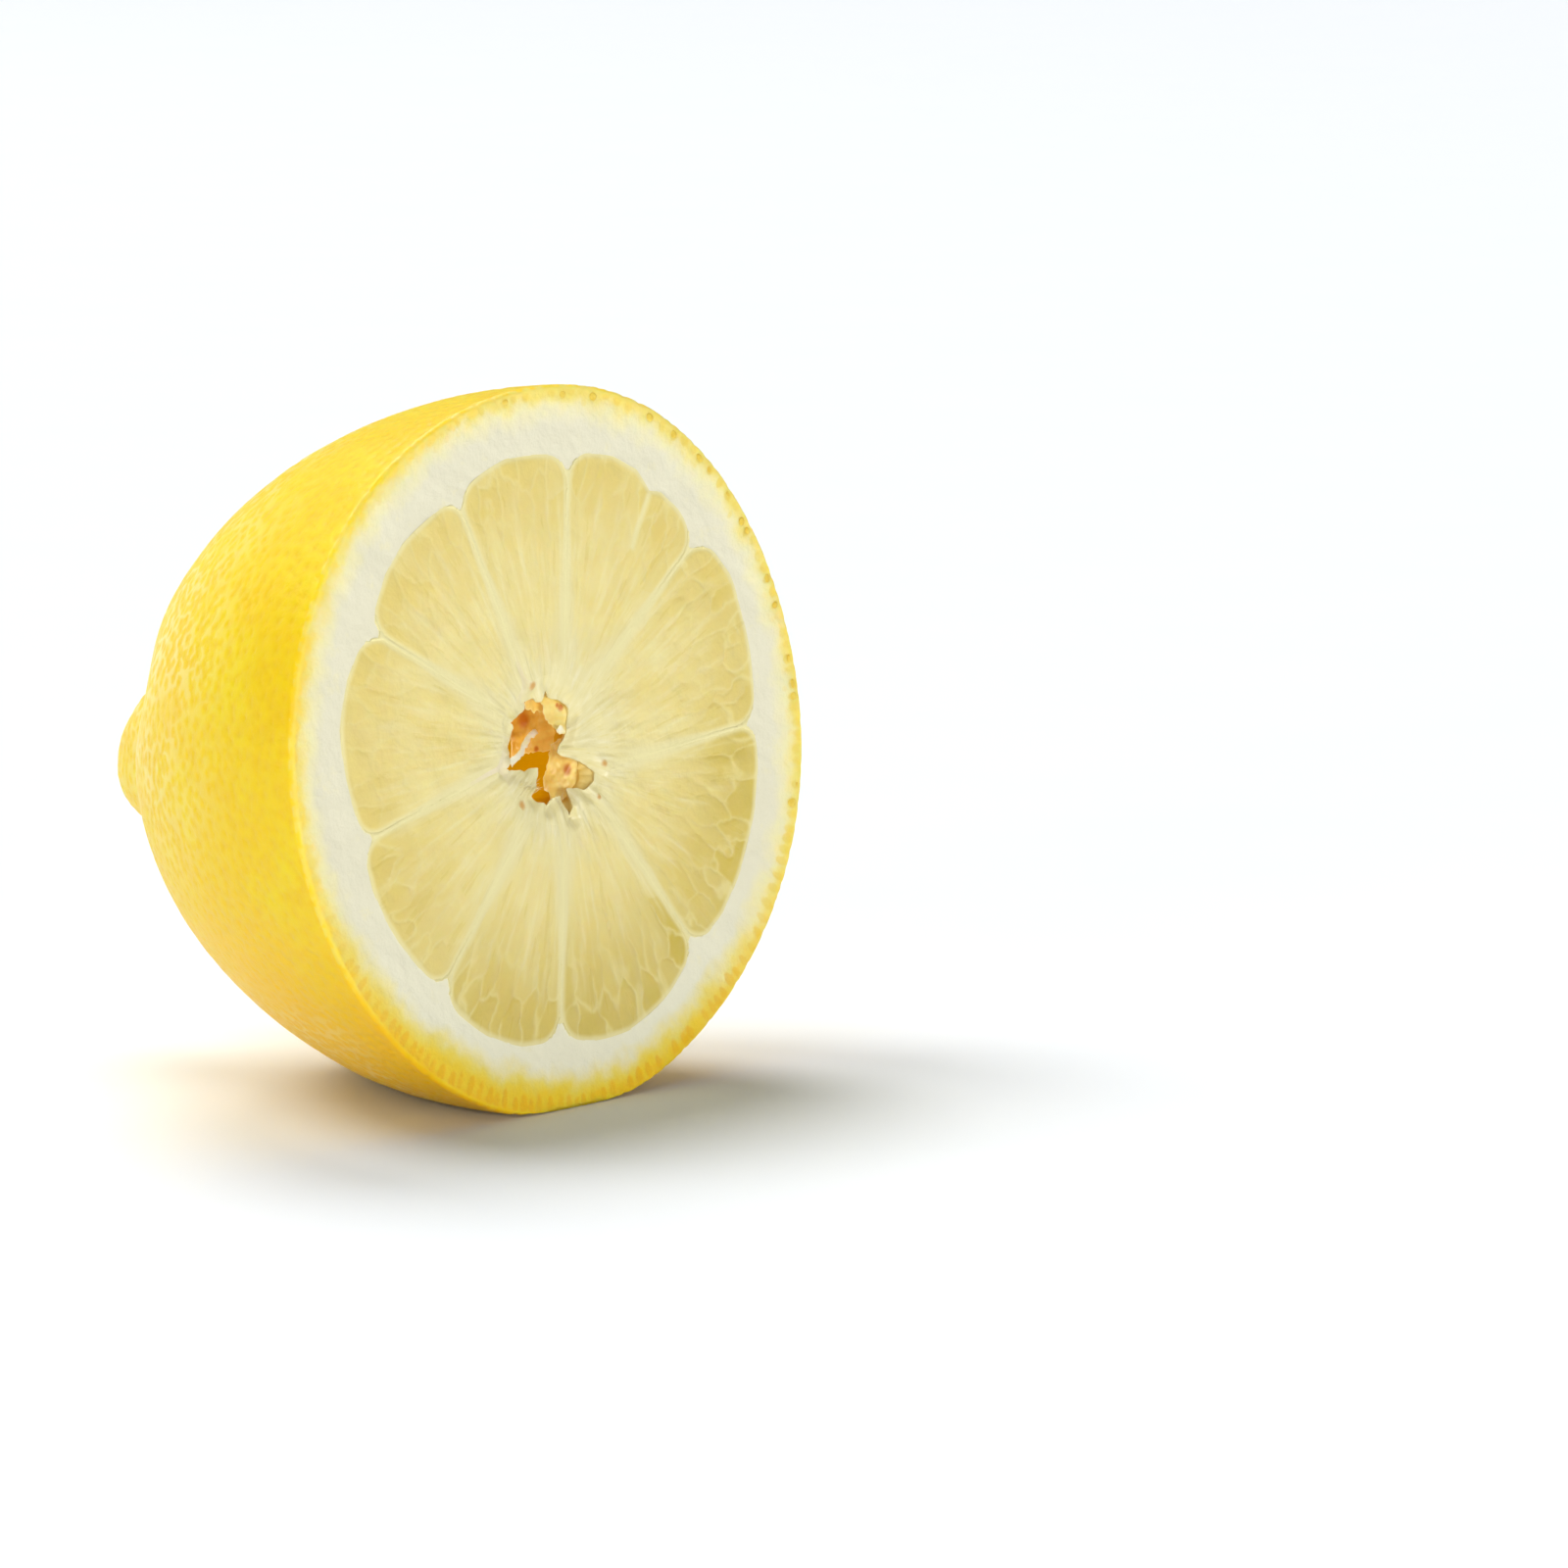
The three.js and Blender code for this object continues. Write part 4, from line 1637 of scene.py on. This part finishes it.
@dataclass
class CoreFibres:
    """Loose fibres that lie on the torn lip of the core, in tufts."""

    form: FruitForm
    thickness: float = 0.024
    seed: int = 19
    tufts: tuple[FibreTuft, ...] = (
        FibreTuft((-3.4, -2.7), (1.0, 0.25), 0.4, 18, 1.0),
        FibreTuft((-2.7, -3.2), (0.9, 0.4), 0.3, 10, 0.7),
        FibreTuft((1.9, 1.6), (1.0, 0.1), 0.2, 6, 0.6),
        FibreTuft((0.2, -4.3), (0.2, 0.9), 0.5, 8, 0.4),
    )

    def build(self, finish: Material) -> Piece:
        """Makes the fibres.

        Args:
            finish: Their material.

        Returns:
            The finished piece.
        """
        rng = np.random.default_rng(self.seed)
        roots, leans, lengths = [], [], []
        for tuft in self.tufts:
            for _ in range(tuft.count):
                roots.append((tuft.root[0] + rng.normal(0, tuft.spread),
                              rng.uniform(0.2, 0.34),
                              tuft.root[1] + rng.normal(0, tuft.spread * 0.6)))
                leans.append((tuft.way[0] + rng.normal(0, 0.25), rng.uniform(-0.12, 0.1),
                              tuft.way[1] + rng.normal(0, 0.25)))
                lengths.append(tuft.length * rng.uniform(0.5, 1.3))
        notes = {"lean": np.array(leans), "reach": np.array(lengths)}
        return grown("core_fibres", np.array(roots), notes, self.tree(finish), self.form)

    def tree(self, finish: Material) -> GeometryTree:
        """A tree that stands a bent tapering fibre on each point, along its lean.

        Args:
            finish: The fibres' material.

        Returns:
            The tree, ready to apply.
        """
        tree = GeometryTree("lip_fibres")
        length = tree.size("Length", 1.0)
        thickness = tree.size("Thickness", self.thickness)
        seed = tree.size("Seed", self.seed)
        bow = tree.node("CurveQuadraticBezier", Resolution=7)
        bow.inputs["Start"].default_value = (0, 0, -0.1)
        bow.inputs["Middle"].default_value = (0.1, 0, 0.5)
        bow.inputs["End"].default_value = (0.02, 0, 1)
        along = tree.node("SplineParameter").outputs["Factor"]
        taper = tree.maths("SQRT", tree.maths("SUBTRACT", 1.08, along))
        circle = tree.node("CurvePrimitiveCircle", Resolution=6, Radius=thickness)
        tube = tree.node("CurveToMesh", Curve=bow.outputs[0], Profile_Curve=circle.outputs[0],
                         Scale=taper, Fill_Caps=True)
        aim = tree.node("FunctionNodeAlignRotationToVector", {"axis": "Z"},
                        Vector=tree.note("lean", "FLOAT_VECTOR"))
        twist = tree.node("FunctionNodeRandomValue", {"data_type": "FLOAT"}, Seed=seed)
        twist.inputs[2].default_value, twist.inputs[3].default_value = 0.0, TURN
        spun = tree.node("FunctionNodeAxisAngleToRotation", Angle=twist.outputs[1])
        turn = tree.node("FunctionNodeRotateRotation", {"rotation_space": "LOCAL"},
                         Rotation=aim.outputs[0], Rotate_By=spun.outputs[0])
        reach = tree.node("ShaderNodeCombineXYZ", X=1.0, Y=1.0,
                          Z=tree.times(length, tree.note("reach")))
        laid = tree.node("InstanceOnPoints", Points=tree.entry.outputs[0],
                         Instance=tube.outputs[0], Rotation=turn.outputs[0],
                         Scale=reach.outputs[0])
        tree.finish(laid.outputs[0], finish)
        return tree


@dataclass
class StylarScar:
    """The dry scar at the nipple's tip: a low cracked button sunk into the skin."""

    form: FruitForm
    radius: float = 1.35
    height: float = 0.34
    steps: int = 72
    rings: int = 12
    sunk: float = 0.52

    def build(self, finish: Material) -> Piece:
        """Makes the button.

        Args:
            finish: Its material.

        Returns:
            The finished piece.
        """
        shell = Shell()
        around = np.arange(self.steps) * TURN / self.steps
        base = float(self.form.smooth_reach(np.array([0.0]))[0]) - self.sunk
        wave = (1 + 0.09 * np.cos(5 * around + 1) + 0.06 * np.cos(9 * around)
                + 0.04 * np.cos(17 * around + 2))
        last = None
        for number in range(1, self.rings + 1):
            share = number / self.rings
            crack = 0.07 * np.cos(11 * around + 0.8 * math.sin(share * 3)) * math.sin(
                share * math.pi)
            rise = self.height * (1 - share ** 4) - 0.2 * math.exp(-(share / 0.3) ** 2) + crack
            radius = self.radius * share * wave
            ring = shell.add(on_face(unit_ways(around) * radius[:, None], base + rise))
            if last is None:
                shell.cap(ring, (0, base + self.height - 0.2, 0))
            else:
                shell.bridge(last, ring)
            last = ring
        shell.cap(last, (0, base - 0.8, 0))
        return shell.make("stylar_scar", self.form, finish)


class Painter(NodeWork):
    """Builds one Principled material out of procedural nodes."""

    def __init__(self, name: str, roughness: float, **constants: object) -> None:
        """Starts a material.

        Args:
            name: Its name.
            roughness: Its plain roughness.
            constants: Other shader values, by input name with underscores for spaces.
        """
        self.material = bpy.data.materials.new(name)
        self.material.use_nodes = True
        super().__init__(self.material.node_tree)
        self.shader = self.tree.nodes["Principled BSDF"]
        self.put(Roughness=roughness, **constants)

    def put(self, **inputs: object) -> None:
        """Sets or links the shader's inputs, named with underscores for spaces."""
        for key, value in inputs.items():
            self.feed(self.shader.inputs[key.replace("_", " ")], value)

    def flesh(self, radius_mm: Colour, weight: object = 1.0) -> None:
        """Lets light scatter under the surface, by red, green and blue distances."""
        self.put(Subsurface_Weight=weight, Subsurface_Radius=radius_mm, Subsurface_Scale=MM)

    def note(self, name: str) -> Socket:
        """Reads a value that the mesh carries."""
        return self.node("Attribute", {"attribute_name": name}).outputs["Fac"]

    def place(self) -> Socket:
        """Object coordinates."""
        return self.node("TexCoord").outputs["Object"]

    def along(self, name_u: str, name_v: str, stretch: float) -> Socket:
        """A place from two carried values, the second one stretched out."""
        return self.node("CombineXYZ", X=self.note(name_u),
                         Y=self.maths("DIVIDE", self.note(name_v), stretch)).outputs[0]

    def height(self) -> Socket:
        """Height over the floor in metres."""
        return self.node("SeparateXYZ", Vector=self.place()).outputs["Z"]

    def over(self, value: Socket, low: float, high: float,
             top: float = 1.0) -> Socket:
        """Rises smoothly from 0 at low to top at high."""
        node = self.node("MapRange", {"interpolation_type": "SMOOTHSTEP"}, Value=value)
        for name, number in (("From Min", low), ("From Max", high), ("To Max", top)):
            node.inputs[name].default_value = number
        return node.outputs[0]

    def noise(self, size: float, detail: float = 2.0,
              place: Socket | None = None,
              roughness: float = 0.5) -> Socket:
        """A noise whose blobs have a given size, in the units of the place."""
        return self.node("TexNoise", Vector=place or self.place(), Scale=1 / size,
                         Detail=detail, Roughness=roughness).outputs[0]

    def blend(self, share: object, one: object, other: object) -> Socket:
        """Mixes two colours; a colour is a hexadecimal code or a socket."""
        node = self.node("Mix", {"data_type": "RGBA"})
        self.feed(node.inputs[0], share)
        for socket, colour in ((node.inputs[6], one), (node.inputs[7], other)):
            self.feed(socket, (*paint(colour), 1.0) if isinstance(colour, str) else colour)
        return node.outputs[2]

    def ramp(self, value: Socket, stops: Stops) -> Socket:
        """A colour that depends on a value, by (place, code) stops."""
        node = self.node("ValToRGB", Fac=value)
        marks = node.color_ramp.elements
        while len(marks) < len(stops):
            marks.new(0.5)
        for mark, (where, code) in zip(marks, stops):
            mark.position = where
            mark.color = (*paint(code), 1.0)
        return node.outputs[0]

    def bump(self, height: Socket, distance: float, strength: float,
             under: Socket | None = None) -> Socket:
        """Raises the surface by a height field, over an earlier bump if one is given."""
        node = self.node("Bump", Height=height, Distance=distance, Strength=strength)
        if under is not None:
            self.feed(node.inputs["Normal"], under)
        return node.outputs[0]


@dataclass(frozen=True)
class RindFinish:
    """Waxy skin outside; oily zest, then dry white pith on the cut. Painted shade darkens the low
    parts, painted light lifts the low pith, and the pale ridges are a painted highlight.
    """

    skin: str = "FFD400"
    skin_light: str = "FFDC10"
    # Painted shade on the lower skin.
    skin_painted_shade: str = "F1B900"
    # Painted highlight on the skin's ridges.
    ridge: str = "FEE89C"
    pit: str = "F7C600"
    zest: str = "F3E07A"
    # Painted shade on the low zest and cream.
    zest_painted_shade: str = "F2D02A"
    cream: str = "F3EAB4"
    cream_painted_shade: str = "F0DC60"
    pith: str = "E8E2C6"
    # Painted light on the low pith.
    pith_painted_light: str = "F0ECD2"
    gland: str = "EDD45A"
    # Painted shade on the low glands.
    gland_painted_shade: str = "EDB400"
    roughness: float = 0.4

    def make(self) -> Material:
        """Builds the material."""
        painter = Painter("lemon_rind", self.roughness, Specular_IOR_Level=0.3)
        note, over, noise = painter.note, painter.over, painter.noise
        blend, times, scaled = painter.blend, painter.times, painter.scaled
        skin_share, pit, depth = note("skin"), note("pit"), note("depth")
        painter.flesh((0.9, 0.65, 0.2), over(depth, 3.8, 1.2, 0.7))
        x, y, z = painter.node("SeparateXYZ", Vector=painter.place()).outputs
        # Painted shade: the skin darkens towards the floor; the same mask shades the low zest,
        # cream and glands and lightens the low pith with painted light.
        low = over(z, 0.024, 0.004)
        skin = blend(over(noise(0.009, 3), 0.38, 0.62), self.skin, self.skin_light)
        skin = blend(times(low, 0.8), skin, self.skin_painted_shade)
        skin = blend(times(over(noise(0.0016), 0.42, 0.7), 0.35), skin, self.pit)
        # Painted highlight: pale ridges between the pits towards the nipple and along the
        # underside by the rim.
        behind = times(over(y, -0.018, 0.0), over(z, 0.014, 0.034))
        under = times(over(z, 0.013, 0.006, 0.6), over(y, -0.0225, -0.018))
        painted_sheen = times(over(noise(0.006), 0.25, 0.65), painter.maths("MAXIMUM", behind, under))
        ridge = times(over(pit, 0.3, 0.0), painted_sheen)
        skin = blend(times(ridge, 0.72), skin, self.ridge)
        skin = blend(times(pit, over(depth, 0.1, 0.0, 0.55)), skin, self.pit)
        leftward = over(x, 0.006, -0.014)
        # The painted low shade and light on the cut fade out towards the right.
        low = times(low, over(x, 0.03, 0.012))
        frayed = painter.maths("ADD", depth, scaled(noise(0.0022, 3), 3.0, -1.4))
        frayed = scaled(low, scaled(leftward, -0.8, -0.4), frayed)
        zest = blend(low, self.zest, self.zest_painted_shade)
        cream = blend(low, self.cream, self.cream_painted_shade)
        pith = blend(low, self.pith, self.pith_painted_light)
        veins = over(noise(0.0024, 4, roughness=0.65), 0.56, 0.7, 0.3)
        cut = blend(over(frayed, 0.7, 2.4), zest, cream)
        cut = blend(over(frayed, 1.6, 4.0), cut, blend(veins, pith, self.cream))
        gland = blend(low, self.gland, self.gland_painted_shade)
        cut = blend(over(note("gland"), 0.0, 0.8, 0.65), cut, gland)
        upper_right = times(over(x, -0.02, 0.004), over(z, 0.03, 0.045))
        dull = painter.maths("MAXIMUM", upper_right, over(x, 0.006, 0.02, 0.55))
        torn = painter.maths("ADD", depth, scaled(noise(0.0013), 3.4, -1.7))
        cut = blend(times(over(torn, 1.3, 0.2, 0.6), scaled(dull, -0.75, 1.0)), cut, skin)
        pale = scaled(upper_right, 0.4, over(low, 0.9, 0.3, 0.55))
        blotch = times(over(depth, -0.01, 0.06), over(noise(0.0011), 0.6, 0.42))
        skin = blend(times(pale, blotch), skin, self.zest)
        grain = painter.bump(noise(0.0005, 3), 0.00012, 0.5)
        fibres = noise(0.0006, 4, roughness=0.7)
        painter.put(Base_Color=blend(skin_share, cut, skin), Roughness=scaled(fibres, 0.3, 0.25),
                    Normal=painter.bump(fibres, 0.00012, 0.4, grain))
        return painter.material


@dataclass(frozen=True)
class CoreZone:
    """The colours that pulp and membranes share where they meet round the core."""

    plain: str = "E8DCA2"
    thread: str = "F0E7BE"
    shade: str = "DECF84"

    def over(self, painter: Painter, colour: object,
             share: object) -> tuple[Socket, Socket]:
        """Lays the core's fibrous tissue over a colour.

        Args:
            painter: Whose material it is.
            colour: What lies under it.
            share: How much of it shows.

        Returns:
            The new colour, and the threads' height.
        """
        flow = painter.node("CombineXYZ", X=painter.note("turn_x"), Y=painter.note("turn_z"),
                            Z=painter.maths("DIVIDE", painter.note("turn_v"), 34.0)).outputs[0]
        threads = painter.noise(0.07, 4, flow, 0.6)
        tissue = painter.blend(painter.over(threads, 0.5, 0.72, 0.8), self.plain, self.thread)
        tissue = painter.blend(painter.over(threads, 0.48, 0.3, 0.6), tissue, self.shade)
        return painter.blend(share, colour, tissue), threads


@dataclass(frozen=True)
class PulpFinish:
    """Wet juice sacs: paler walls, soft threads that run to the core, and painted olive shade at
    the outer ends.
    """

    outer: str = "E2CB70"
    middle: str = "EAD98E"
    # Painted shade on the outer ends.
    olive_painted_shade: str = "CBB238"
    wall: str = "EDE09A"
    rim: str = "EBE0A4"
    thread: str = "F3EAB6"
    roughness: float = 0.3

    def make(self) -> Material:
        """Builds the material."""
        painter = Painter("lemon_pulp", self.roughness, Coat_Weight=0.35, Coat_Roughness=0.2,
                          IOR=1.36)
        note, over, noise = painter.note, painter.over, painter.noise
        blend, times, scaled = painter.blend, painter.times, painter.scaled
        inset, edge = note("inset"), note("edge")
        painter.flesh((1.3, 1.05, 0.45), over(edge, 0.3, 1.8, 0.75))
        colour = blend(over(inset, 10.0, 0.5), self.middle, self.outer)
        # Painted shade: an olive cast at the outer ends, by each segment's share, deepest on the
        # lower right.
        colour = blend(times(note("ripe"), over(inset, 14.0, 0.0)), colour, self.olive_painted_shade)
        colour = blend(scaled(note("tone"), 0.1, 0.1), colour, self.thread)
        colour = blend(over(noise(0.0032, 3), 0.4, 0.72, 0.35), colour, self.outer)
        threads = noise(1.15, 3, painter.along("flow_u", "flow_v", 6.0))
        lines = times(over(threads, 0.48, 0.75, 0.45), over(inset, 0.5, 7.0))
        colour = blend(lines, colour, self.thread)
        colour = blend(over(threads, 0.45, 0.28, 0.3), colour, self.outer)
        colour = blend(times(note("wall"), 0.75), colour, self.wall)
        width = painter.maths("ADD", over(inset, 4.0, 18.0, 1.3), 0.2)
        fan = over(painter.maths("DIVIDE", edge, width), 1.3, 0.1, 0.7)
        colour = blend(times(fan, over(inset, 2.0, 9.0)), colour, CoreZone().plain)
        colour = blend(over(edge, 0.55, 0.02, 0.85), colour, self.rim)
        colour, _ = CoreZone().over(painter, colour, note("core"))
        swell = painter.bump(noise(0.0008, 3), 0.00016, 0.5)
        painter.put(Base_Color=colour, Roughness=scaled(threads, 0.3, 0.16),
                    Normal=painter.bump(threads, 0.0001, 0.35, swell))
        return painter.material


@dataclass(frozen=True)
class MembraneFinish:
    """Cream walls and core, fibrous, going from tan to deep ochre down the hollow, partly painted
    shade, with a painted glow deep inside standing in for light through the flesh.
    """

    wall: str = "EADFA2"
    blush: str = "E6D5C0"
    spot: str = "CC8A08"
    # The lining darkens to deep ochre with depth: partly the tissue's own tone, partly painted
    # shade in the hollow.
    hollow: Stops = (
        (0.0, "F1E2A0"), (0.03, "E8CF7C"), (0.09, "E0BC58"), (0.25, "D2A038"),
        (0.42, "D2A414"), (0.75, "C49606"))
    hollow_reach: float = 12.0
    painted_glow_colour: str = "CC9E00"
    roughness: float = 0.45

    def make(self) -> Material:
        """Builds the material."""
        painter = Painter("lemon_membrane", self.roughness, Coat_Weight=0.12,
                          Coat_Roughness=0.35)
        note, noise, blend = painter.note, painter.noise, painter.blend
        depth = note("depth")
        colour, threads = CoreZone().over(painter, self.wall, note("core"))
        colour = blend(painter.times(note("blush"), 0.6), colour, self.blush)
        colour = blend(painter.times(note("spot"), 0.8), colour, self.spot)
        stains = painter.scaled(noise(0.0012, 3), 0.08, -0.04)
        down = painter.maths("ADD", stains, painter.maths("DIVIDE", depth, self.hollow_reach))
        # Partly painted shade: darker and more ochre deeper in the hollow.
        colour = blend(painter.over(depth, 0.02, 0.4), colour, painter.ramp(down, self.hollow))
        grain = painter.bump(noise(0.0005, 3), 0.0001, 0.4)
        # Painted glow: emission deep in the hollow stands in for light coming through the flesh.
        painter.put(Base_Color=colour, Emission_Color=(*paint(self.painted_glow_colour), 1.0),
                    Emission_Strength=painter.over(depth, 2.0, 6.0, 0.42),
                    Normal=painter.bump(threads, 0.0001, 0.4, grain))
        return painter.material


@dataclass(frozen=True)
class FlapFinish:
    """Torn silky sheets, from white through tan to rusty brown by their tone, with a painted glow
    that lifts them out of the hollow's shade.
    """

    tones: Stops = (
        (0.0, "EFE7CC"), (0.16, "EEE2A0"), (0.36, "EBD074"), (0.55, "E3BA58"), (0.8, "D4A23C"),
        (1.0, "C08424"))
    merged: str = "EBDC98"
    rim: str = "F0DC94"
    spot: str = "B85C00"
    roughness: float = 0.45

    def make(self) -> Material:
        """Builds the material."""
        painter = Painter("torn_core", self.roughness, Coat_Weight=0.25, Coat_Roughness=0.25)
        painter.flesh((0.5, 0.3, 0.1), 0.3)
        note, noise, blend = painter.note, painter.noise, painter.blend
        threads = noise(0.7, 3, painter.along("streak", "along", 5.0))
        shift = painter.maths("ADD", painter.scaled(threads, 0.5, -0.25),
                              painter.scaled(noise(0.0016), 0.3, -0.15))
        colour = painter.ramp(painter.maths("ADD", note("tone"), shift), self.tones)
        colour = blend(painter.over(note("edge"), 0.14, 0.02, 0.5), colour, self.rim)
        colour = blend(painter.times(note("spot"), 0.85), colour, self.spot)
        colour = blend(note("merge"), colour, self.merged)
        # Painted glow: each flap's own emission lifts it out of the hollow's shade.
        painter.put(Base_Color=colour, Emission_Color=colour, Emission_Strength=note("lit"),
                    Normal=painter.bump(noise(0.0007, 3), 0.00006, 0.3))
        return painter.material


@dataclass(frozen=True)
class PlainTissueFinish:
    """A small part's finish: two colours mottled together over a fine bump."""

    name: str
    light: str
    dark: str
    blob: float
    roughness: float
    wet: float

    def make(self) -> Material:
        """Builds the material."""
        painter = Painter(self.name, self.roughness, Coat_Weight=self.wet, Coat_Roughness=0.1)
        mottle = painter.noise(self.blob, 3, roughness=0.6)
        painter.put(
            Base_Color=painter.blend(painter.over(mottle, 0.35, 0.65), self.light, self.dark),
            Normal=painter.bump(mottle, self.blob * 0.2, 0.5))
        return painter.material


OIL = PlainTissueFinish("gland_oil", "F0D250", "E6C038", 0.0007, 0.5, 0.0)
FIBRE = PlainTissueFinish("core_fibre", "F1E7BC", "E6D79A", 0.0006, 0.45, 0.1)
SCAR = PlainTissueFinish("dry_scar", "B98F4E", "7A5426", 0.0005, 0.8, 0.0)


@dataclass(frozen=True)
class SoftLamp:
    """A flat soft lamp, aimed at the fruit."""

    name: str
    place: Triple
    width: float
    height: float
    power: float

    def hang(self, target: Vector) -> None:
        """Adds the lamp, facing the target."""
        lamp = bpy.data.lights.new(self.name, "AREA")
        lamp.shape, lamp.energy = "RECTANGLE", self.power
        lamp.size, lamp.size_y = self.width, self.height
        holder = stand(self.name, lamp)
        holder.location = self.place
        holder.rotation_euler = (target - Vector(self.place)).to_track_quat("-Z", "Y").to_euler()


@dataclass(frozen=True)
class SoftSun:
    """An even light from one side, wide enough for soft shadows."""

    name: str
    way: Triple
    strength: float
    width: float = 30.0

    def hang(self) -> None:
        """Adds the light."""
        lamp = bpy.data.lights.new(self.name, "SUN")
        lamp.energy, lamp.angle = self.strength, math.radians(self.width)
        rotation = Vector(self.way).to_track_quat("-Z", "Y").to_euler()
        stand(self.name, lamp).rotation_euler = rotation


@dataclass(frozen=True)
class Studio:
    """The pale floor, the soft light and the camera."""

    floor_radius: float = 3.5
    edge_width: float = 0.5
    edge_height: float = 0.46
    edge_glow: float = 0.12
    floor_colour: str = "F4F8FB"
    sky: float = 0.17
    lens: float = 198.0
    sensor: float = 36.0
    distance: float = 0.7
    cut_middle: Triple = (0.0000517, -0.0234517, 0.029271)
    camera_way: Triple = (-0.7340, -0.6609, 0.1564)
    aside: float = 0.01846
    below: float = 0.0028
    lamps: tuple[SoftLamp, ...] = (
        SoftLamp("left", (-1.1, -0.25, 0.3), 0.4, 0.4, 1.95),
        SoftLamp("front", (-0.15, -1.1, 0.11), 0.5, 0.16, 4.6),
        SoftLamp("back", (0.05, 1.25, 0.42), 1.0, 0.9, 1.8),
    )
    suns: tuple[SoftSun, ...] = (
        SoftSun("from_back_left", (0.35, -0.52, -1.0), 1.43),
        SoftSun("from_back_right", (-0.35, -0.52, -1.0), 1.7),
    )

    def build(self) -> None:
        """Sets up everything that isn't the fruit."""
        self.floor()
        self.light()
        self.camera()
        bpy.context.scene.view_settings.view_transform = "Standard"

    def floor(self) -> None:
        """Lays a round floor whose far edge sweeps up into a low backdrop that glows faintly."""
        steps = 96
        around = np.arange(steps) * TURN / steps
        sweep = np.linspace(0, math.pi / 2, 9)
        rings = np.vstack(((self.floor_radius, 0), np.column_stack((
            self.floor_radius + self.edge_width * np.sin(sweep[1:]),
            self.edge_height * (1 - np.cos(sweep[1:]))))))
        places = [(radius * math.cos(turn), radius * math.sin(turn), height)
                  for radius, height in rings for turn in around]
        faces = [list(range(steps))]
        for ring in range(len(rings) - 1):
            for step in range(steps):
                one, other = ring * steps + step, ring * steps + (step + 1) % steps
                faces.append([one, one + steps, other + steps, other])
        mesh = bpy.data.meshes.new("floor")
        mesh.from_pydata(places, [], faces)
        mesh.polygons.foreach_set("use_smooth", np.ones(len(mesh.polygons), bool))
        board = stand("floor", mesh)
        painter = Painter("pale_floor", 0.8, Specular_IOR_Level=0.1, Emission_Color=(1, 1, 1, 1))
        grain = painter.noise(0.02, 2)
        painter.put(Base_Color=painter.blend(grain, self.floor_colour, "F6F9FC"),
                    Emission_Strength=painter.over(painter.height(), 0.0, 0.15, self.edge_glow))
        mesh.materials.append(painter.material)

    def light(self) -> None:
        """Sets an even white sky and hangs the lamps."""
        world = bpy.data.worlds.new("soft_sky")
        world.use_nodes = True
        sky = world.node_tree.nodes["Background"]
        sky.inputs["Color"].default_value = (1, 1, 1, 1)
        sky.inputs["Strength"].default_value = self.sky
        bpy.context.scene.world = world
        for sun in self.suns:
            sun.hang()
        for lamp in self.lamps:
            lamp.hang(Vector(self.cut_middle))

    def camera(self) -> None:
        """Sets the camera: long lens, no shift, everything in focus."""
        back = Vector(self.camera_way).normalized()
        turn = back.to_track_quat("Z", "Y")
        right, above = turn @ Vector((1, 0, 0)), turn @ Vector((0, 1, 0))
        lens = bpy.data.cameras.new("camera")
        lens.lens, lens.sensor_width = self.lens, self.sensor
        lens.clip_start, lens.clip_end = 0.01, 50.0
        camera = stand("camera", lens)
        aim = Vector(self.cut_middle) + self.aside * right - self.below * above
        camera.location = aim + self.distance * back
        camera.rotation_euler = turn.to_euler()
        bpy.context.scene.camera = camera


@dataclass
class Lemon:
    """The whole half fruit: builds its tissues in order and hands each to the frame."""

    form: FruitForm = field(default_factory=FruitForm)
    face: CutFace = field(default_factory=CutFace)
    clearness: tuple[float, ...] = (0.7, 0.6, 0.5, 0.4, 0.4, 0.6, 0.85, 0.85, 0.75)
    # Each segment's share of painted olive shade, deepest on the lower right ones.
    painted_shade: tuple[float, ...] = (0.3, 0.1, 0.05, 0.0, 0.0, 0.2, 0.6, 0.95, 0.8)
    clefts: dict[int, tuple[tuple[Pair, Pair], ...]] = field(
        default_factory=lambda: {1: (((13.0, 19.9), (10.5, 15.5)),)})

    def build(self) -> None:
        """Makes every piece."""
        glands = OilGlands(self.form)
        layout = glands.layout()
        self.keep(Rind(self.form, self.face, glands=layout).build(RindFinish().make()),
                  Tissue.PEEL)
        self.keep(glands.build(layout, OIL.make()), Tissue.PEEL)
        self.keep(StylarScar(self.form).build(SCAR.make()), Tissue.PEEL)
        membranes = Membranes(self.form, self.face).build(MembraneFinish().make())
        self.keep(membranes, Tissue.PITH)
        torn = FlapFinish().make()
        for flap in FLAPS:
            self.keep(flap.build(self.form, torn), Tissue.PITH)
        self.keep(CoreFibres(self.form).build(FIBRE.make()), Tissue.PITH)
        pulp = PulpFinish().make()
        for number, (clear, ripe) in enumerate(zip(self.clearness, self.painted_shade)):
            clefts = self.clefts.get(number, ())
            self.keep(Segment(self.form, self.face, number, clear, ripe, clefts).build(pulp),
                      Tissue.PULP)

    def keep(self, piece: Piece, tissue: Tissue) -> None:
        """Hangs a piece on the body, hides the plain solid and logs which tissue it stands for.

        Args:
            piece: The finished piece.
            tissue: The tissue it stands for, which is logged.
        """
        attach(piece, BODY)
        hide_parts(NODE)
        log.info("%s stands for the %s", piece.name, tissue.value)


def main() -> None:
    """Builds the half lemon and its studio."""
    logging.basicConfig(level=logging.INFO, format="%(name)s: %(message)s")
    Lemon().build()
    Studio().build()


if __name__ == "__main__":
    main()
